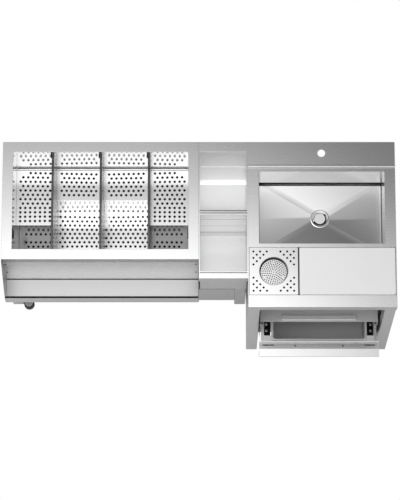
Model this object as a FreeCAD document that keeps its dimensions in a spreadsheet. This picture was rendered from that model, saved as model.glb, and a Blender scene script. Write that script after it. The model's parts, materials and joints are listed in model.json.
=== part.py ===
"""Bartender's station in stainless steel: an ice bin with a bottle rail, two bottle wells and a bar sink
with a drip plate, a cutting board and a pull-out waste drawer.

Frame: X runs along the counter, Y from the front to the back and Z up. The origin is the centre of the
whole box on the floor. Distances named "deep" are measured forward from the back edge of the worktops, and
distances named "drop" are measured down from the worktops' upper face. Millimetres.
"""

import FreeCAD
import Part
import math
import os

import Sketcher

DOCUMENT = "bar_station"

# Each driving dimension: alias, value in millimetres or as a count, and what it is.
DRIVING = [
    ("ice_width", 900, "width of the ice bin module"),
    ("well_width", 225, "width of the bottle well module"),
    ("sink_width", 675, "width of the sink module"),
    ("top_height", 870, "floor to the worktops' upper face"),
    ("ice_depth", 557, "back edge to front edge of the ice bin worktop"),
    ("well_depth", 647, "back edge to front edge of the well module"),
    ("sink_depth", 781, "back edge to front edge of the sink worktop"),
    ("sheet_wall", 2, "thickness of the folded steel sheet"),
    ("apron_drop", 58, "height of the folded apron under each worktop edge"),
    ("leg_size", 52, "outer side of a square leg"),
    ("leg_wall", 2, "wall of a square leg"),
    ("glide_height", 6, "thickness of the glide under a leg"),
    ("glide_radius", 20, "radius of that glide"),
    ("ice_border", 48, "flat border round the ice bin's opening"),
    ("tank_drop", 530, "worktop to the inside floor of the ice tank"),
    ("floor_drop", 500, "worktop to the perforated lower floor"),
    ("deck_drop", 267, "worktop to the perforated upper decks"),
    ("deck_plate", 2, "thickness of the perforated sheet"),
    ("long_deck", 275, "back wall to the step of the two outer decks"),
    ("short_deck", 156, "back wall to the step of the two middle decks"),
    ("divider_pitch", 221, "distance from divider to divider"),
    ("divider_wall", 10, "thickness of a divider"),
    ("divider_top_drop", 12, "worktop to the top edge of a divider"),
    ("fit_gap", 0.5, "clearance round pieces that lift out"),
    ("seat_gap", 0.3, "gap under pieces that lift out"),
    ("casing_bottom", 322, "floor to the underside of the ice bin's casing"),
    ("hole_pitch", 60, "pitch of the perforation"),
    ("hole_side", 4.8, "side of a hexagonal perforation"),
    ("rail_reach", 113, "front of the ice bin's casing to the front of the bottle rail"),
    ("rail_drop", 370, "worktop to the bottle rail's floor"),
    ("rail_lip", 75, "height of the rail's front lip"),
    ("rail_hem", 11, "width of the hem on the rail's lip"),
    ("rail_screw_inset", 14, "end of the rail to the screws in its back wall"),
    ("rail_screw_top", 95, "worktop to the upper screws of the rail"),
    ("rail_screw_pitch", 143, "upper to lower screws of the rail"),
    ("rail_screw_radius", 4, "radius of a screw head of the rail"),
    ("foot_radius", 25, "radius of the levelling foot's rubber base"),
    ("foot_cap_radius", 20, "radius of the levelling foot's steel shell"),
    ("foot_base_height", 45, "height of the levelling foot's rubber base"),
    ("foot_inset", 80, "left side to the centre of the levelling foot"),
    ("base_top", 301, "floor to the top of the base shelf"),
    ("base_skirt", 215, "height of the base shelf's front skirt"),
    ("well_side", 6, "border at each side of the bottle wells"),
    ("well_back", 48, "border behind the rear well"),
    ("rear_well_deep", 277, "length of the rear well, front to back"),
    ("well_bridge", 22, "bridge between the two wells"),
    ("front_well_deep", 266, "length of the front well, front to back"),
    ("rear_well_drop", 500, "worktop to the rear well's floor"),
    ("front_well_drop", 326, "worktop to the front well's floor"),
    ("well_bend", 24, "radius of the bends at the foot of the bottle wells"),
    ("ledge_deep", 110, "length of the tap ledge, front to back"),
    ("rib_width", 15, "width of the rib in front of the tap ledge"),
    ("rib_height", 12, "height of that rib"),
    ("tap_radius", 17.5, "radius of the tap hole"),
    ("tap_deep", 54, "back edge to the centre of the tap hole"),
    ("bowl_side", 50, "border at each side of the bowl"),
    ("bowl_back", 141, "back edge to the bowl's rear rim"),
    ("bowl_deep", 342, "length of the bowl's opening, front to back"),
    ("bowl_drop", 225, "worktop to the foot of the bowl's walls"),
    ("bowl_fall", 12, "fall of the bowl's floor to the drain"),
    ("baffle_gap", 22, "space behind the overflow baffle"),
    ("baffle_drop", 201, "worktop to the baffle's lower edge"),
    ("drain_radius", 44, "outer radius of the drain's dish"),
    ("drain_throat", 20, "radius of the drain's throat"),
    ("spigot_radius", 16, "radius of the hose spigot under the ice tank"),
    ("spigot_length", 36, "length of that spigot"),
    ("tail_length", 60, "length of the drain's tail pipe"),
    ("recess_deep", 224, "length of the recess for plate and board"),
    ("recess_side", 4, "rim at each side of that recess"),
    ("plate_width", 222, "width of the drip plate"),
    ("plate_wall", 3, "thickness of the drip plate"),
    ("plate_hole_radius", 4, "radius of a hole in the drip plate"),
    ("plate_hole_pitch", 15.2, "diagonal row pitch of those holes"),
    ("plate_hole_edge", 19, "plate edge to the outermost hole"),
    ("dish_radius", 67, "radius of the strainer dish at its rim"),
    ("dish_foot_radius", 60, "radius of the strainer dish at its floor"),
    ("dish_drop", 22, "depth of the strainer dish"),
    ("tray_drop", 46, "worktop to the drip tray's floor"),
    ("board_thick", 18, "thickness of the cutting board"),
    ("housing_width", 550, "width of the drawer housing"),
    ("housing_top", 450, "floor to the top of the drawer housing"),
    ("housing_setback", 32, "front of the sink worktop to the housing's front edge"),
    ("housing_deep", 470, "length of the drawer housing, front to back"),
    ("bottom_top", 145, "floor to the upper face of the bottom shelf"),
    ("pull_width", 346, "width of the folded pull on the housing"),
    ("drawer_out", 81, "how far the drawer stands open at rest"),
    ("drawer_shut_gap", 3, "housing to the drawer front when it is shut"),
    ("drawer_width", 560, "width of the drawer front"),
    ("drawer_top", 415, "floor to the top of the drawer front"),
    ("drawer_face", 150, "height of the drawer front"),
    ("channel_width", 33, "width of the drawer front's sunk channel"),
    ("channel_drop", 14, "depth of that channel"),
    ("nose_reach", 37, "length of the drawer front's nose"),
    ("bin_width", 448, "width of the waste bin's rim"),
    ("bin_deep", 385, "length of the waste bin's rim, front to back"),
    ("bin_rim", 8, "width of the waste bin's rim"),
    ("bin_floor_top", 172, "floor to the waste bin's inside floor"),
    ("bin_corner", 14, "radius of the waste bin's upright corners"),
    ("slide_height", 46, "height of a drawer slide"),
    ("slide_thick", 12, "thickness of a fixed drawer slide"),
    ("slide_length", 400, "length of a drawer slide"),
    ("slide_top", 380, "floor to the top of a drawer slide"),
    ("grommet_deep", 34, "length of the side grommet, front to back"),
    ("grommet_height", 60, "height of the side grommet"),
]

doc = FreeCAD.newDocument(DOCUMENT)
sheet = doc.addObject("Spreadsheet::Sheet", "sizes")
for row, (alias, value, meaning) in enumerate(DRIVING, start=1):
    sheet.set("A%d" % row, alias)
    sheet.set("B%d" % row, str(value))
    sheet.setAlias("B%d" % row, alias)
    sheet.set("C%d" % row, meaning)
doc.recompute()


class Size:
    """A length worked out from the sheet: its expression's text and its present value."""

    def __init__(self, text, value):
        self.text = text
        self.value = value

    @staticmethod
    def of(other):
        if isinstance(other, Size):
            return other
        return Size(repr(float(other)), float(other))

    def __add__(self, other):
        other = Size.of(other)
        return Size("(%s + %s)" % (self.text, other.text), self.value + other.value)

    def __radd__(self, other):
        return Size.of(other) + self

    def __sub__(self, other):
        other = Size.of(other)
        return Size("(%s - %s)" % (self.text, other.text), self.value - other.value)

    def __rsub__(self, other):
        return Size.of(other) - self

    def __mul__(self, other):
        other = Size.of(other)
        return Size("(%s * %s)" % (self.text, other.text), self.value * other.value)

    def __rmul__(self, other):
        return Size.of(other) * self

    def __truediv__(self, other):
        other = Size.of(other)
        return Size("(%s / %s)" % (self.text, other.text), self.value / other.value)

    def __neg__(self):
        return Size.of(0) - self


def cell(alias):
    """The sheet's cell of that name as a Size."""
    return Size("sizes." + alias, float(sheet.get(alias)))


nodes = []


def node(shape_object, label):
    """Marks an object as a finished sub-part under its own name."""
    shape_object.Label = label
    nodes.append(shape_object)
    return shape_object


def bind(target, **fields):
    """Binds properties of an object to the sheet."""
    for field, size in fields.items():
        target.setExpression(field, Size.of(size).text)


def put(target, x, y, z):
    """Binds an object's place to the sheet."""
    target.setExpression("Placement.Base.x", Size.of(x).text)
    target.setExpression("Placement.Base.y", Size.of(y).text)
    target.setExpression("Placement.Base.z", Size.of(z).text)


def at_deep(deep):
    """The Y of a plane that lies so far in front of the worktops' back edge."""
    return back_y - deep


def at_drop(drop):
    """The Z of a plane that lies so far below the worktops' upper face."""
    return top_z - drop


def block(name, x0, x1, deep0, deep1, z0, z1):
    """A box between two X, two depths and two heights."""
    made = doc.addObject("Part::Box", name)
    bind(made, Length=x1 - x0, Width=Size.of(deep1) - deep0, Height=Size.of(z1) - z0)
    put(made, x0, at_deep(deep1), z0)
    return made


def post(name, x, deep, z0, z1, radius):
    """An upright cylinder."""
    made = doc.addObject("Part::Cylinder", name)
    bind(made, Radius=radius, Height=Size.of(z1) - z0)
    put(made, x, at_deep(deep), z0)
    return made


def hexagon(name, x, deep, z0, z1, radius):
    """An upright six-sided bar, as a levelling nut or a standoff."""
    made = doc.addObject("Part::Prism", name)
    made.Polygon = 6
    bind(made, Circumradius=radius, Height=Size.of(z1) - z0)
    put(made, x, at_deep(deep), z0)
    return made


def fuse(name, pieces):
    """One solid from pieces that meet."""
    made = doc.addObject("Part::MultiFuse", name)
    made.Shapes = pieces
    made.Refine = True
    return made


def cut(name, base, tools):
    """A piece with the tools taken out of it."""
    made = doc.addObject("Part::Cut", name)
    made.Base = base
    made.Tool = tools[0] if len(tools) == 1 else fuse(name + "_tools", tools)
    made.Refine = True
    return made


def group(name, pieces):
    """Several separate solids under one name."""
    made = doc.addObject("Part::Compound", name)
    made.Links = pieces
    return made


def origin_plane(body, role):
    """One of a body's own base planes."""
    for feature in body.Origin.OriginFeatures:
        if feature.Role == role:
            return feature
    raise ValueError(role)


def drawn(body, name, role, corners):
    """A closed outline through the corners, each held by its two distances from the body's origin."""
    sketch = body.newObject("Sketcher::SketchObject", name)
    sketch.AttachmentSupport = [(origin_plane(body, role), "")]
    sketch.MapMode = "FlatFace"
    points = [FreeCAD.Vector(Size.of(u).value, Size.of(v).value, 0) for u, v in corners]
    for index, point in enumerate(points):
        after = points[(index + 1) % len(points)]
        sketch.addGeometry(Part.LineSegment(point, after), False)
    for index in range(len(points)):
        after = (index + 1) % len(points)
        sketch.addConstraint(Sketcher.Constraint("Coincident", index, 2, after, 1))
    for index, (u, v) in enumerate(corners):
        for kind, size in (("DistanceX", u), ("DistanceY", v)):
            size = Size.of(size)
            number = sketch.addConstraint(Sketcher.Constraint(kind, -1, 1, index, 1, size.value))
            sketch.setExpression("Constraints[%d]" % number, size.text)
    return sketch


def padded(name, role, corners, length, place):
    """A folded section: an outline in one of the base planes, drawn out along that plane's normal."""
    body = doc.addObject("PartDesign::Body", name)
    sketch = drawn(body, name + "_outline", role, corners)
    pad = body.newObject("PartDesign::Pad", name + "_pad")
    pad.Profile = sketch
    bind(pad, Length=length)
    body.Tip = pad
    put(body, *place)
    return body


def rounded(body, edges_of, radius):
    """Fillets the edges of a body's tip that the given test picks."""
    doc.recompute()
    tip = body.Tip
    picked = [
        "Edge%d" % (index + 1) for index, edge in enumerate(tip.Shape.Edges) if edges_of(edge)
    ]
    fillet = body.newObject("PartDesign::Fillet", body.Name + "_round")
    fillet.Base = (tip, picked)
    bind(fillet, Radius=radius)
    body.Tip = fillet
    return body


# ---- places shared by several pieces ---------------------------------------------------------------

wall = cell("sheet_wall")
top_z = cell("top_height")
under_top = top_z - wall
half_width = (cell("ice_width") + cell("well_width") + cell("sink_width")) / 2
left_x = -half_width
well_x = left_x + cell("ice_width")
sink_x = well_x + cell("well_width")
right_x = half_width

# The drawer front's back face lies just ahead of its housing when the drawer is shut.
housing_front = cell("sink_depth") - cell("housing_setback")
drawer_back = housing_front + cell("drawer_shut_gap") + cell("drawer_out")
front_flange = wall * 2
channel_deep0 = drawer_back + front_flange
channel_deep1 = channel_deep0 + cell("channel_width")
nose_deep = channel_deep1 + cell("nose_reach")
back_y = nose_deep / 2

leg = cell("leg_size")
leg_foot = cell("glide_height")


# ---- worktops --------------------------------------------------------------------------------------


def worktop(name, x0, x1, depth, openings):
    """A sheet with its edges folded down as an apron, less its openings."""
    outer = block(name + "_outer", x0, x1, 0, depth, at_drop(cell("apron_drop")), top_z)
    inner = block(
        name + "_inner",
        x0 + wall,
        x1 - wall,
        wall,
        depth - wall,
        at_drop(cell("apron_drop")) - wall,
        under_top,
    )
    return cut(name, outer, [inner] + openings)


def opening(name, x0, x1, deep0, deep1):
    """A cutter through a worktop."""
    return block(name, x0, x1, deep0, deep1, at_drop(cell("apron_drop")), top_z + wall)


tank_x0 = left_x + cell("ice_border")
tank_x1 = well_x - cell("ice_border")
tank_deep0 = cell("ice_border")
tank_deep1 = cell("ice_depth") - cell("ice_border")
ice_worktop = worktop(
    "ice_worktop_sheet",
    left_x,
    well_x,
    cell("ice_depth"),
    [opening("ice_opening", tank_x0, tank_x1, tank_deep0, tank_deep1)],
)
node(ice_worktop, "ice_worktop")

well_x0 = well_x + cell("well_side")
well_x1 = sink_x - cell("well_side")
rear_well0 = cell("well_back")
rear_well1 = rear_well0 + cell("rear_well_deep")
front_well0 = rear_well1 + cell("well_bridge")
front_well1 = front_well0 + cell("front_well_deep")
well_worktop = worktop(
    "well_worktop_sheet",
    well_x,
    sink_x,
    cell("well_depth"),
    [
        opening("rear_well_opening", well_x0, well_x1, rear_well0, rear_well1),
        opening("front_well_opening", well_x0, well_x1, front_well0, front_well1),
    ],
)
node(well_worktop, "well_worktop")

bowl_x0 = sink_x + cell("bowl_side")
bowl_x1 = right_x - cell("bowl_side")
bowl_deep0 = cell("bowl_back")
bowl_deep1 = bowl_deep0 + cell("bowl_deep")
sink_leg_front0 = cell("sink_depth") - wall - leg
recess_deep1 = sink_leg_front0 - wall
recess_deep0 = recess_deep1 - cell("recess_deep")
recess_x0 = sink_x + cell("recess_side")
recess_x1 = right_x - cell("recess_side")
sink_mid_x = (sink_x + right_x) / 2
rib_deep0 = cell("ledge_deep")
rib_deep1 = rib_deep0 + cell("rib_width")
sink_plate = block("sink_plate", sink_x, right_x, 0, cell("sink_depth"), under_top, top_z)
sink_sheet = cut(
    "sink_worktop_sheet",
    sink_plate,
    [
        opening("bowl_opening", bowl_x0, bowl_x1, bowl_deep0, bowl_deep1),
        opening("recess_opening", recess_x0, recess_x1, recess_deep0, recess_deep1),
        post(
            "tap_hole",
            sink_mid_x,
            cell("tap_deep"),
            at_drop(cell("apron_drop")),
            top_z + wall,
            cell("tap_radius"),
        ),
    ],
)
sink_apron_z = at_drop(cell("apron_drop"))
sink_apron = cut(
    "sink_apron_ring",
    block("apron_outer", sink_x, right_x, 0, cell("sink_depth"), sink_apron_z, under_top),
    [
        block(
            "apron_inner",
            sink_x + wall,
            right_x - wall,
            wall,
            cell("sink_depth") - wall,
            sink_apron_z - wall,
            top_z,
        )
    ],
)
node(sink_apron, "sink_apron")

# The rib in front of the tap ledge is pressed out of the worktop.
rib = padded(
    "rib_section",
    "YZ_Plane",
    [
        (0, 0),
        (cell("rib_width"), 0),
        (cell("rib_width") - wall, cell("rib_height") - wall),
        (cell("rib_width") - 2 * wall, cell("rib_height")),
        (2 * wall, cell("rib_height")),
        (wall, cell("rib_height") - wall),
    ],
    cell("sink_width"),
    (sink_x, at_deep(rib_deep1), top_z),
)
node(fuse("sink_worktop_piece", [sink_sheet, rib]), "sink_worktop")


# ---- bottle wells ----------------------------------------------------------------------------------


def bent_block(name, x0, x1, deep0, deep1, z0, z1, bend):
    """A block whose lower front and back edges are rounded."""
    body = padded(
        name,
        "YZ_Plane",
        [
            (0, 0),
            (deep1 - deep0, 0),
            (deep1 - deep0, z1 - z0),
            (0, z1 - z0),
        ],
        x1 - x0,
        (x0, at_deep(deep1), z0),
    )
    return rounded(
        body,
        lambda edge: all(abs(v.Z) < 0.01 for v in edge.Vertexes)
        and abs(edge.Vertexes[0].X - edge.Vertexes[1].X) > 1,
        bend,
    )


def bottle_well(name, deep0, deep1, z_floor):
    """A deep open box hung under the well module's worktop. Returns its outside as well."""
    bend = cell("well_bend")
    outer = bent_block(
        name + "_outer",
        well_x0 - wall,
        well_x1 + wall,
        deep0 - wall,
        deep1 + wall,
        z_floor - wall,
        under_top,
        bend + wall,
    )
    inner = bent_block(
        name + "_inner", well_x0, well_x1, deep0, deep1, z_floor, under_top + wall, bend
    )
    node(cut(name + "_sheet", outer, [inner]), name)
    return outer


rear_well_floor = at_drop(cell("rear_well_drop"))
front_well_floor = at_drop(cell("front_well_drop"))
rear_well_outside = bottle_well("rear_well", rear_well0, rear_well1, rear_well_floor)
bottle_well("front_well", front_well0, front_well1, front_well_floor)


# ---- legs, glides and the levelling foot -----------------------------------------------------------


def square_leg(name, x0, deep0, z_top, notches=()):
    """A square tube from its glide up to what it carries, cut away round what stands in its way."""
    outer = block(name + "_outer", x0, x0 + leg, deep0, deep0 + leg, leg_foot, z_top)
    bore = block(
        name + "_bore",
        x0 + cell("leg_wall"),
        x0 + leg - cell("leg_wall"),
        deep0 + cell("leg_wall"),
        deep0 + leg - cell("leg_wall"),
        leg_foot + cell("leg_wall"),
        z_top,
    )
    glides.append(
        hexagon(name + "_glide", x0 + leg / 2, deep0 + leg / 2, 0, leg_foot, cell("glide_radius"))
    )
    return node(cut(name + "_tube", outer, [bore, *notches]), name)


glides = []
casing_z = cell("casing_bottom")
leg_rows = (wall, cell("ice_depth") - wall - leg)
square_leg("ice_leg_rear", left_x + wall, leg_rows[0], casing_z)
square_leg("ice_leg_front", left_x + wall, leg_rows[1], casing_z)
square_leg(
    "well_leg_rear", sink_x - wall - leg, leg_rows[0], under_top, notches=[rear_well_outside]
)
square_leg("well_leg_front", sink_x - wall - leg, leg_rows[1], front_well_floor - wall)
sink_rows = (("rear", wall), ("front", cell("sink_depth") - wall - leg))
for row_name, deep0 in sink_rows:
    square_leg("sink_leg_%s_left" % row_name, sink_x + wall, deep0, under_top)
    square_leg("sink_leg_%s_right" % row_name, right_x - wall - leg, deep0, under_top)
node(group("glide_group", glides), "leg_glides")

foot_x = left_x + cell("foot_inset")
foot_deep = cell("ice_depth")
foot_base_z = cell("foot_base_height")
node(post("foot_rubber", foot_x, foot_deep, 0, foot_base_z, cell("foot_radius")), "foot_base")
shell_top = cell("base_top") - cell("base_skirt")
foot_shell = post("foot_tube", foot_x, foot_deep, foot_base_z, shell_top, cell("foot_cap_radius"))
foot_bracket = block(
    "foot_bracket",
    foot_x - cell("foot_cap_radius"),
    foot_x + cell("foot_cap_radius"),
    foot_deep - leg,
    foot_deep,
    shell_top - wall * 2,
    shell_top,
)
node(fuse("foot_shell_piece", [foot_shell, foot_bracket]), "foot_shell")


# ---- base shelf between the legs of the ice bin and the wells --------------------------------------

base_x0 = left_x + wall + leg
base_x1 = sink_x - wall - leg
base_z = cell("base_top")
base_outer = block(
    "base_outer",
    base_x0,
    base_x1,
    wall,
    cell("ice_depth") - wall,
    base_z - cell("base_skirt"),
    base_z,
)
base_inner = block(
    "base_inner",
    base_x0 - wall,
    base_x1 + wall,
    2 * wall,
    cell("ice_depth") - 2 * wall,
    base_z - cell("base_skirt") - wall,
    base_z - wall,
)
drain_x = (left_x + well_x) / 2
drain_deep = tank_deep1 - leg
base_hole = post(
    "base_hole", drain_x, drain_deep, base_z - 2 * wall, base_z + wall, cell("drain_throat") + wall
)
base_sheet = cut("base_sheet", base_outer, [base_inner, base_hole])
lower_flange = block(
    "base_flange_box",
    base_x0,
    base_x1,
    cell("ice_depth") - 2 * wall - leg / 2,
    cell("ice_depth") - 2 * wall,
    base_z - cell("base_skirt"),
    base_z - cell("base_skirt") + wall,
)
node(fuse("base_piece", [base_sheet, lower_flange]), "base_shelf")


# ---- ice bin ---------------------------------------------------------------------------------------


def open_box(name, x0, x1, deep0, deep1, z_floor, z_top, thick):
    """A box open at the top, given its inside faces."""
    outer = block(
        name + "_outer", x0 - thick, x1 + thick, deep0 - thick, deep1 + thick, z_floor - thick, z_top
    )
    inner = block(name + "_inner", x0, x1, deep0, deep1, z_floor, z_top + thick)
    return outer, inner


tank_floor = at_drop(cell("tank_drop"))
tank_outer, tank_inner = open_box(
    "tank", tank_x0, tank_x1, tank_deep0, tank_deep1, tank_floor, under_top, wall
)
tank_hole = post(
    "tank_hole", drain_x, drain_deep, tank_floor - 2 * wall, tank_floor + wall, cell("drain_throat")
)
node(cut("tank_sheet", tank_outer, [tank_inner, tank_hole]), "ice_tank")

casing_outer = block(
    "casing_outer",
    left_x + wall,
    well_x - wall,
    wall,
    cell("ice_depth") - wall,
    casing_z,
    under_top,
)
casing_inner = block(
    "casing_inner",
    left_x + 2 * wall,
    well_x - 2 * wall,
    2 * wall,
    cell("ice_depth") - 2 * wall,
    casing_z + wall,
    top_z,
)
casing_hole = post(
    "casing_hole", drain_x, drain_deep, casing_z - wall, casing_z + 2 * wall, cell("drain_throat")
)
node(cut("casing_sheet", casing_outer, [casing_inner, casing_hole]), "ice_casing")

foam_outer = block(
    "foam_outer",
    left_x + 2 * wall,
    well_x - 2 * wall,
    2 * wall,
    cell("ice_depth") - 2 * wall,
    casing_z + wall,
    under_top,
)
foam_inner = block(
    "foam_inner",
    tank_x0 - wall,
    tank_x1 + wall,
    tank_deep0 - wall,
    tank_deep1 + wall,
    tank_floor - wall,
    top_z,
)
foam_hole = post("foam_hole", drain_x, drain_deep, casing_z, tank_floor, cell("drain_throat"))
node(cut("foam_block", foam_outer, [foam_inner, foam_hole]), "ice_insulation")

spigot_z1 = base_z - 2 * wall
spigot_z0 = spigot_z1 - cell("spigot_length")
ice_tail_outer = post(
    "ice_tail_outer", drain_x, drain_deep, spigot_z1, tank_floor, cell("drain_throat") - wall / 4
)
ice_tail_spigot = post(
    "ice_tail_spigot", drain_x, drain_deep, spigot_z0, spigot_z1, cell("spigot_radius")
)
ice_tail_bore = post(
    "ice_tail_bore", drain_x, drain_deep, spigot_z0 - wall, top_z, cell("spigot_radius") - wall
)
ice_tail_flange = post(
    "ice_tail_flange", drain_x, drain_deep, tank_floor, tank_floor + wall, cell("drain_radius")
)
ice_tail_body = fuse("ice_tail_body", [ice_tail_outer, ice_tail_flange, ice_tail_spigot])
node(cut("ice_tail", ice_tail_body, [ice_tail_bore]), "ice_drain")

# Black grommets in both side walls of the tank.
grommet_deep = tank_deep1 - 3 * cell("grommet_deep")
grommet_z1 = at_drop(cell("divider_top_drop"))
side_grommets = []
for side, x0 in (("left", tank_x0), ("right", tank_x1 - 2 * wall)):
    side_grommets.append(
        block(
            "grommet_" + side,
            x0,
            x0 + 2 * wall,
            grommet_deep,
            grommet_deep + cell("grommet_deep"),
            grommet_z1 - cell("grommet_height"),
            grommet_z1,
        )
    )
node(group("grommet_group", side_grommets), "side_grommets")


def six_sided(x, y, side):
    """The closed outline of a small six-sided hole."""
    corners = [
        FreeCAD.Vector(
            x + side * math.cos(math.radians(60 * turn)), y + side * math.sin(math.radians(60 * turn)), 0
        )
        for turn in range(6)
    ]
    return Part.makePolygon(corners + corners[:1])


def perforated(width, length, thick, rows_from, rows_to):
    """A thin sheet with staggered six-sided holes between two distances from its back edge."""
    pitch = cell("hole_pitch").value
    side = cell("hole_side").value
    row_step = pitch * math.sqrt(3) / 2
    margin = pitch * 0.6
    outline = Part.makePolygon(
        [
            FreeCAD.Vector(0, 0, 0),
            FreeCAD.Vector(width, 0, 0),
            FreeCAD.Vector(width, -length, 0),
            FreeCAD.Vector(0, -length, 0),
            FreeCAD.Vector(0, 0, 0),
        ]
    )
    wires = [outline]
    rows = int((rows_to - rows_from - 2 * margin) / row_step) + 1
    for row_index in range(rows):
        y = -(rows_from + margin + row_index * row_step)
        count = int((width - 2 * margin) / pitch) + 1 - row_index % 2
        for column in range(count):
            x = width / 2 + (column - (count - 1) / 2) * pitch
            wires.append(six_sided(x, y, side))
    return Part.Face(wires).extrude(FreeCAD.Vector(0, 0, thick))


def sheet_feature(name, shape, x, deep, z):
    """A finished shape put at a back left corner."""
    made = doc.addObject("Part::Feature", name)
    made.Shape = shape
    made.Placement.Base = FreeCAD.Vector(x.value, at_deep(deep).value, z.value)
    return made


# Three dividers share the tank's width evenly about its middle.
gap = cell("fit_gap")
tank_mid_x = (tank_x0 + tank_x1) / 2
divider_x = [tank_mid_x + (place - 1) * cell("divider_pitch") for place in range(3)]
divider_z0 = at_drop(cell("floor_drop")) + cell("seat_gap")
divider_z1 = at_drop(cell("divider_top_drop"))
for number, centre in enumerate(divider_x, start=1):
    plate = padded(
        "divider_%d_sheet" % number,
        "YZ_Plane",
        [
            (0, 0),
            (tank_deep1 - tank_deep0 - 2 * gap, 0),
            (tank_deep1 - tank_deep0 - 2 * gap, divider_z1 - divider_z0),
            (0, divider_z1 - divider_z0),
        ],
        cell("divider_wall"),
        (centre - cell("divider_wall") / 2, at_deep(tank_deep1 - gap), divider_z0),
    )
    height = (divider_z1 - divider_z0).value
    rounded(
        plate,
        lambda edge, height=height: all(abs(v.Z - height) < 0.01 for v in edge.Vertexes)
        and abs(edge.Vertexes[0].Y - edge.Vertexes[1].Y) > 1,
        cell("divider_wall") / 4,
    )
    node(plate, "divider_%d" % number)
    clip = block(
        "divider_clip_%d_box" % number,
        centre - cell("divider_wall") / 2 - 3 * wall,
        centre - cell("divider_wall") / 2,
        tank_deep0 + gap + wall,
        tank_deep0 + gap + wall * 10,
        divider_z1 - wall * 10,
        divider_z1 - wall,
    )
    node(clip, "divider_clip_%d" % number)

# Perforated lower floor, and a stepped deck in each compartment.
floor_z = at_drop(cell("floor_drop")) - cell("deck_plate")
floor_margin = 2 * gap
false_floor = sheet_feature(
    "false_floor_sheet",
    perforated(
        (tank_x1 - tank_x0 - 2 * floor_margin).value,
        (tank_deep1 - tank_deep0 - 2 * floor_margin).value,
        cell("deck_plate").value,
        cell("short_deck").value,
        (tank_deep1 - tank_deep0 - 2 * floor_margin).value,
    ),
    tank_x0 + floor_margin,
    tank_deep0 + floor_margin,
    floor_z,
)
node(false_floor, "false_bottom")
runners = []
for number, x0 in enumerate((tank_x0, tank_mid_x, tank_x1 - leg / 2), start=1):
    runners.append(
        block(
            "floor_runner_%d" % number,
            x0,
            x0 + leg / 2,
            tank_deep0,
            tank_deep0 + (tank_deep1 - tank_deep0) / 2,
            tank_floor,
            floor_z,
        )
    )
node(group("runner_group", runners), "floor_runners")

deck_z = at_drop(cell("deck_drop")) - cell("deck_plate")
half_divider = cell("divider_wall") / 2
deck_edges = [tank_x0 + gap]
for centre in divider_x:
    deck_edges.append(centre - half_divider - gap)
    deck_edges.append(centre + half_divider + gap)
deck_edges.append(tank_x1 - gap)
for number in range(1, 5):
    x0 = deck_edges[2 * number - 2]
    x1 = deck_edges[2 * number - 1]
    run = cell("long_deck") if number in (1, 4) else cell("short_deck")
    deck_shape = perforated(
        (x1 - x0).value,
        run.value,
        cell("deck_plate").value,
        0,
        run.value,
    )
    riser = Part.makeBox(
        (x1 - x0).value,
        cell("deck_plate").value,
        (deck_z - floor_z - cell("deck_plate")).value,
        FreeCAD.Vector(0, -run.value, -(deck_z - floor_z - cell("deck_plate")).value),
    )
    deck = sheet_feature(
        "deck_%d_sheet" % number,
        deck_shape.fuse(riser).removeSplitter(),
        x0,
        tank_deep0 + gap,
        deck_z,
    )
    node(deck, "deck_%d" % number)


# ---- bottle rail -----------------------------------------------------------------------------------

rail_deep = cell("ice_depth") - wall
rail_top = at_drop(cell("apron_drop"))
rail_z = at_drop(cell("rail_drop"))
rail_reach = cell("rail_reach")
rail_lip = cell("rail_lip")
rail_hem = cell("rail_hem")
rail_inner = rail_reach - wall
rail = padded(
    "rail_section",
    "YZ_Plane",
    [
        (0, rail_top - rail_z),
        (-wall, rail_top - rail_z),
        (-wall, wall),
        (-rail_inner, wall),
        (-rail_inner, rail_lip - wall),
        (-(rail_reach - rail_hem), rail_lip - wall),
        (-(rail_reach - rail_hem), rail_lip),
        (-rail_reach, rail_lip),
        (-rail_reach, 0),
        (0, 0),
    ],
    cell("ice_width") - 2 * wall,
    (left_x + wall, at_deep(rail_deep), rail_z),
)
node(rail, "bottle_rail")
for side, x0 in (("left", left_x), ("right", well_x - wall)):
    end = padded(
        "rail_end_%s_sheet" % side,
        "YZ_Plane",
        [
            (0, 0),
            (-rail_reach, 0),
            (-rail_reach, rail_lip + wall),
            (-leg / 4, under_top - wall - rail_z),
            (-wall, under_top - wall - rail_z),
            (-wall, rail_top - rail_z),
            (0, rail_top - rail_z),
        ],
        wall,
        (x0, at_deep(rail_deep), rail_z),
    )
    node(end, "rail_end_" + side)
rail_screws = []
for side, x in (
    ("left", left_x + cell("rail_screw_inset")),
    ("right", well_x - cell("rail_screw_inset")),
):
    for place in range(2):
        screw = doc.addObject("Part::Prism", "rail_screw_%s_%d" % (side, place + 1))
        screw.Polygon = 6
        bind(screw, Circumradius=cell("rail_screw_radius"), Height=wall)
        screw.Placement.Rotation = FreeCAD.Rotation(FreeCAD.Vector(1, 0, 0), 90)
        put(
            screw,
            x,
            at_deep(cell("ice_depth")),
            at_drop(cell("rail_screw_top") + place * cell("rail_screw_pitch")),
        )
        rail_screws.append(screw)
node(group("rail_screw_group", rail_screws), "rail_screws")


# ---- bowl, baffle and drain ------------------------------------------------------------------------


def falling_floor(name, x0, x1, deep0, deep1, z, fall, throat):
    """The shallow four-sided funnel that a bowl's creased floor makes, its tip a square on the drain."""
    made = doc.addObject("Part::Wedge", name)
    width = x1 - x0
    length = deep1 - deep0
    bind(made, Xmin=0, Xmax=width, Ymin=0, Ymax=fall, Zmin=0, Zmax=length)
    bind(made, X2min=width / 2 - throat, X2max=width / 2 + throat)
    bind(made, Z2min=length / 2 - throat, Z2max=length / 2 + throat)
    made.Placement.Rotation = FreeCAD.Rotation(FreeCAD.Vector(1, 0, 0), -90)
    put(made, x0, at_deep(deep1), z)
    return made


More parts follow.
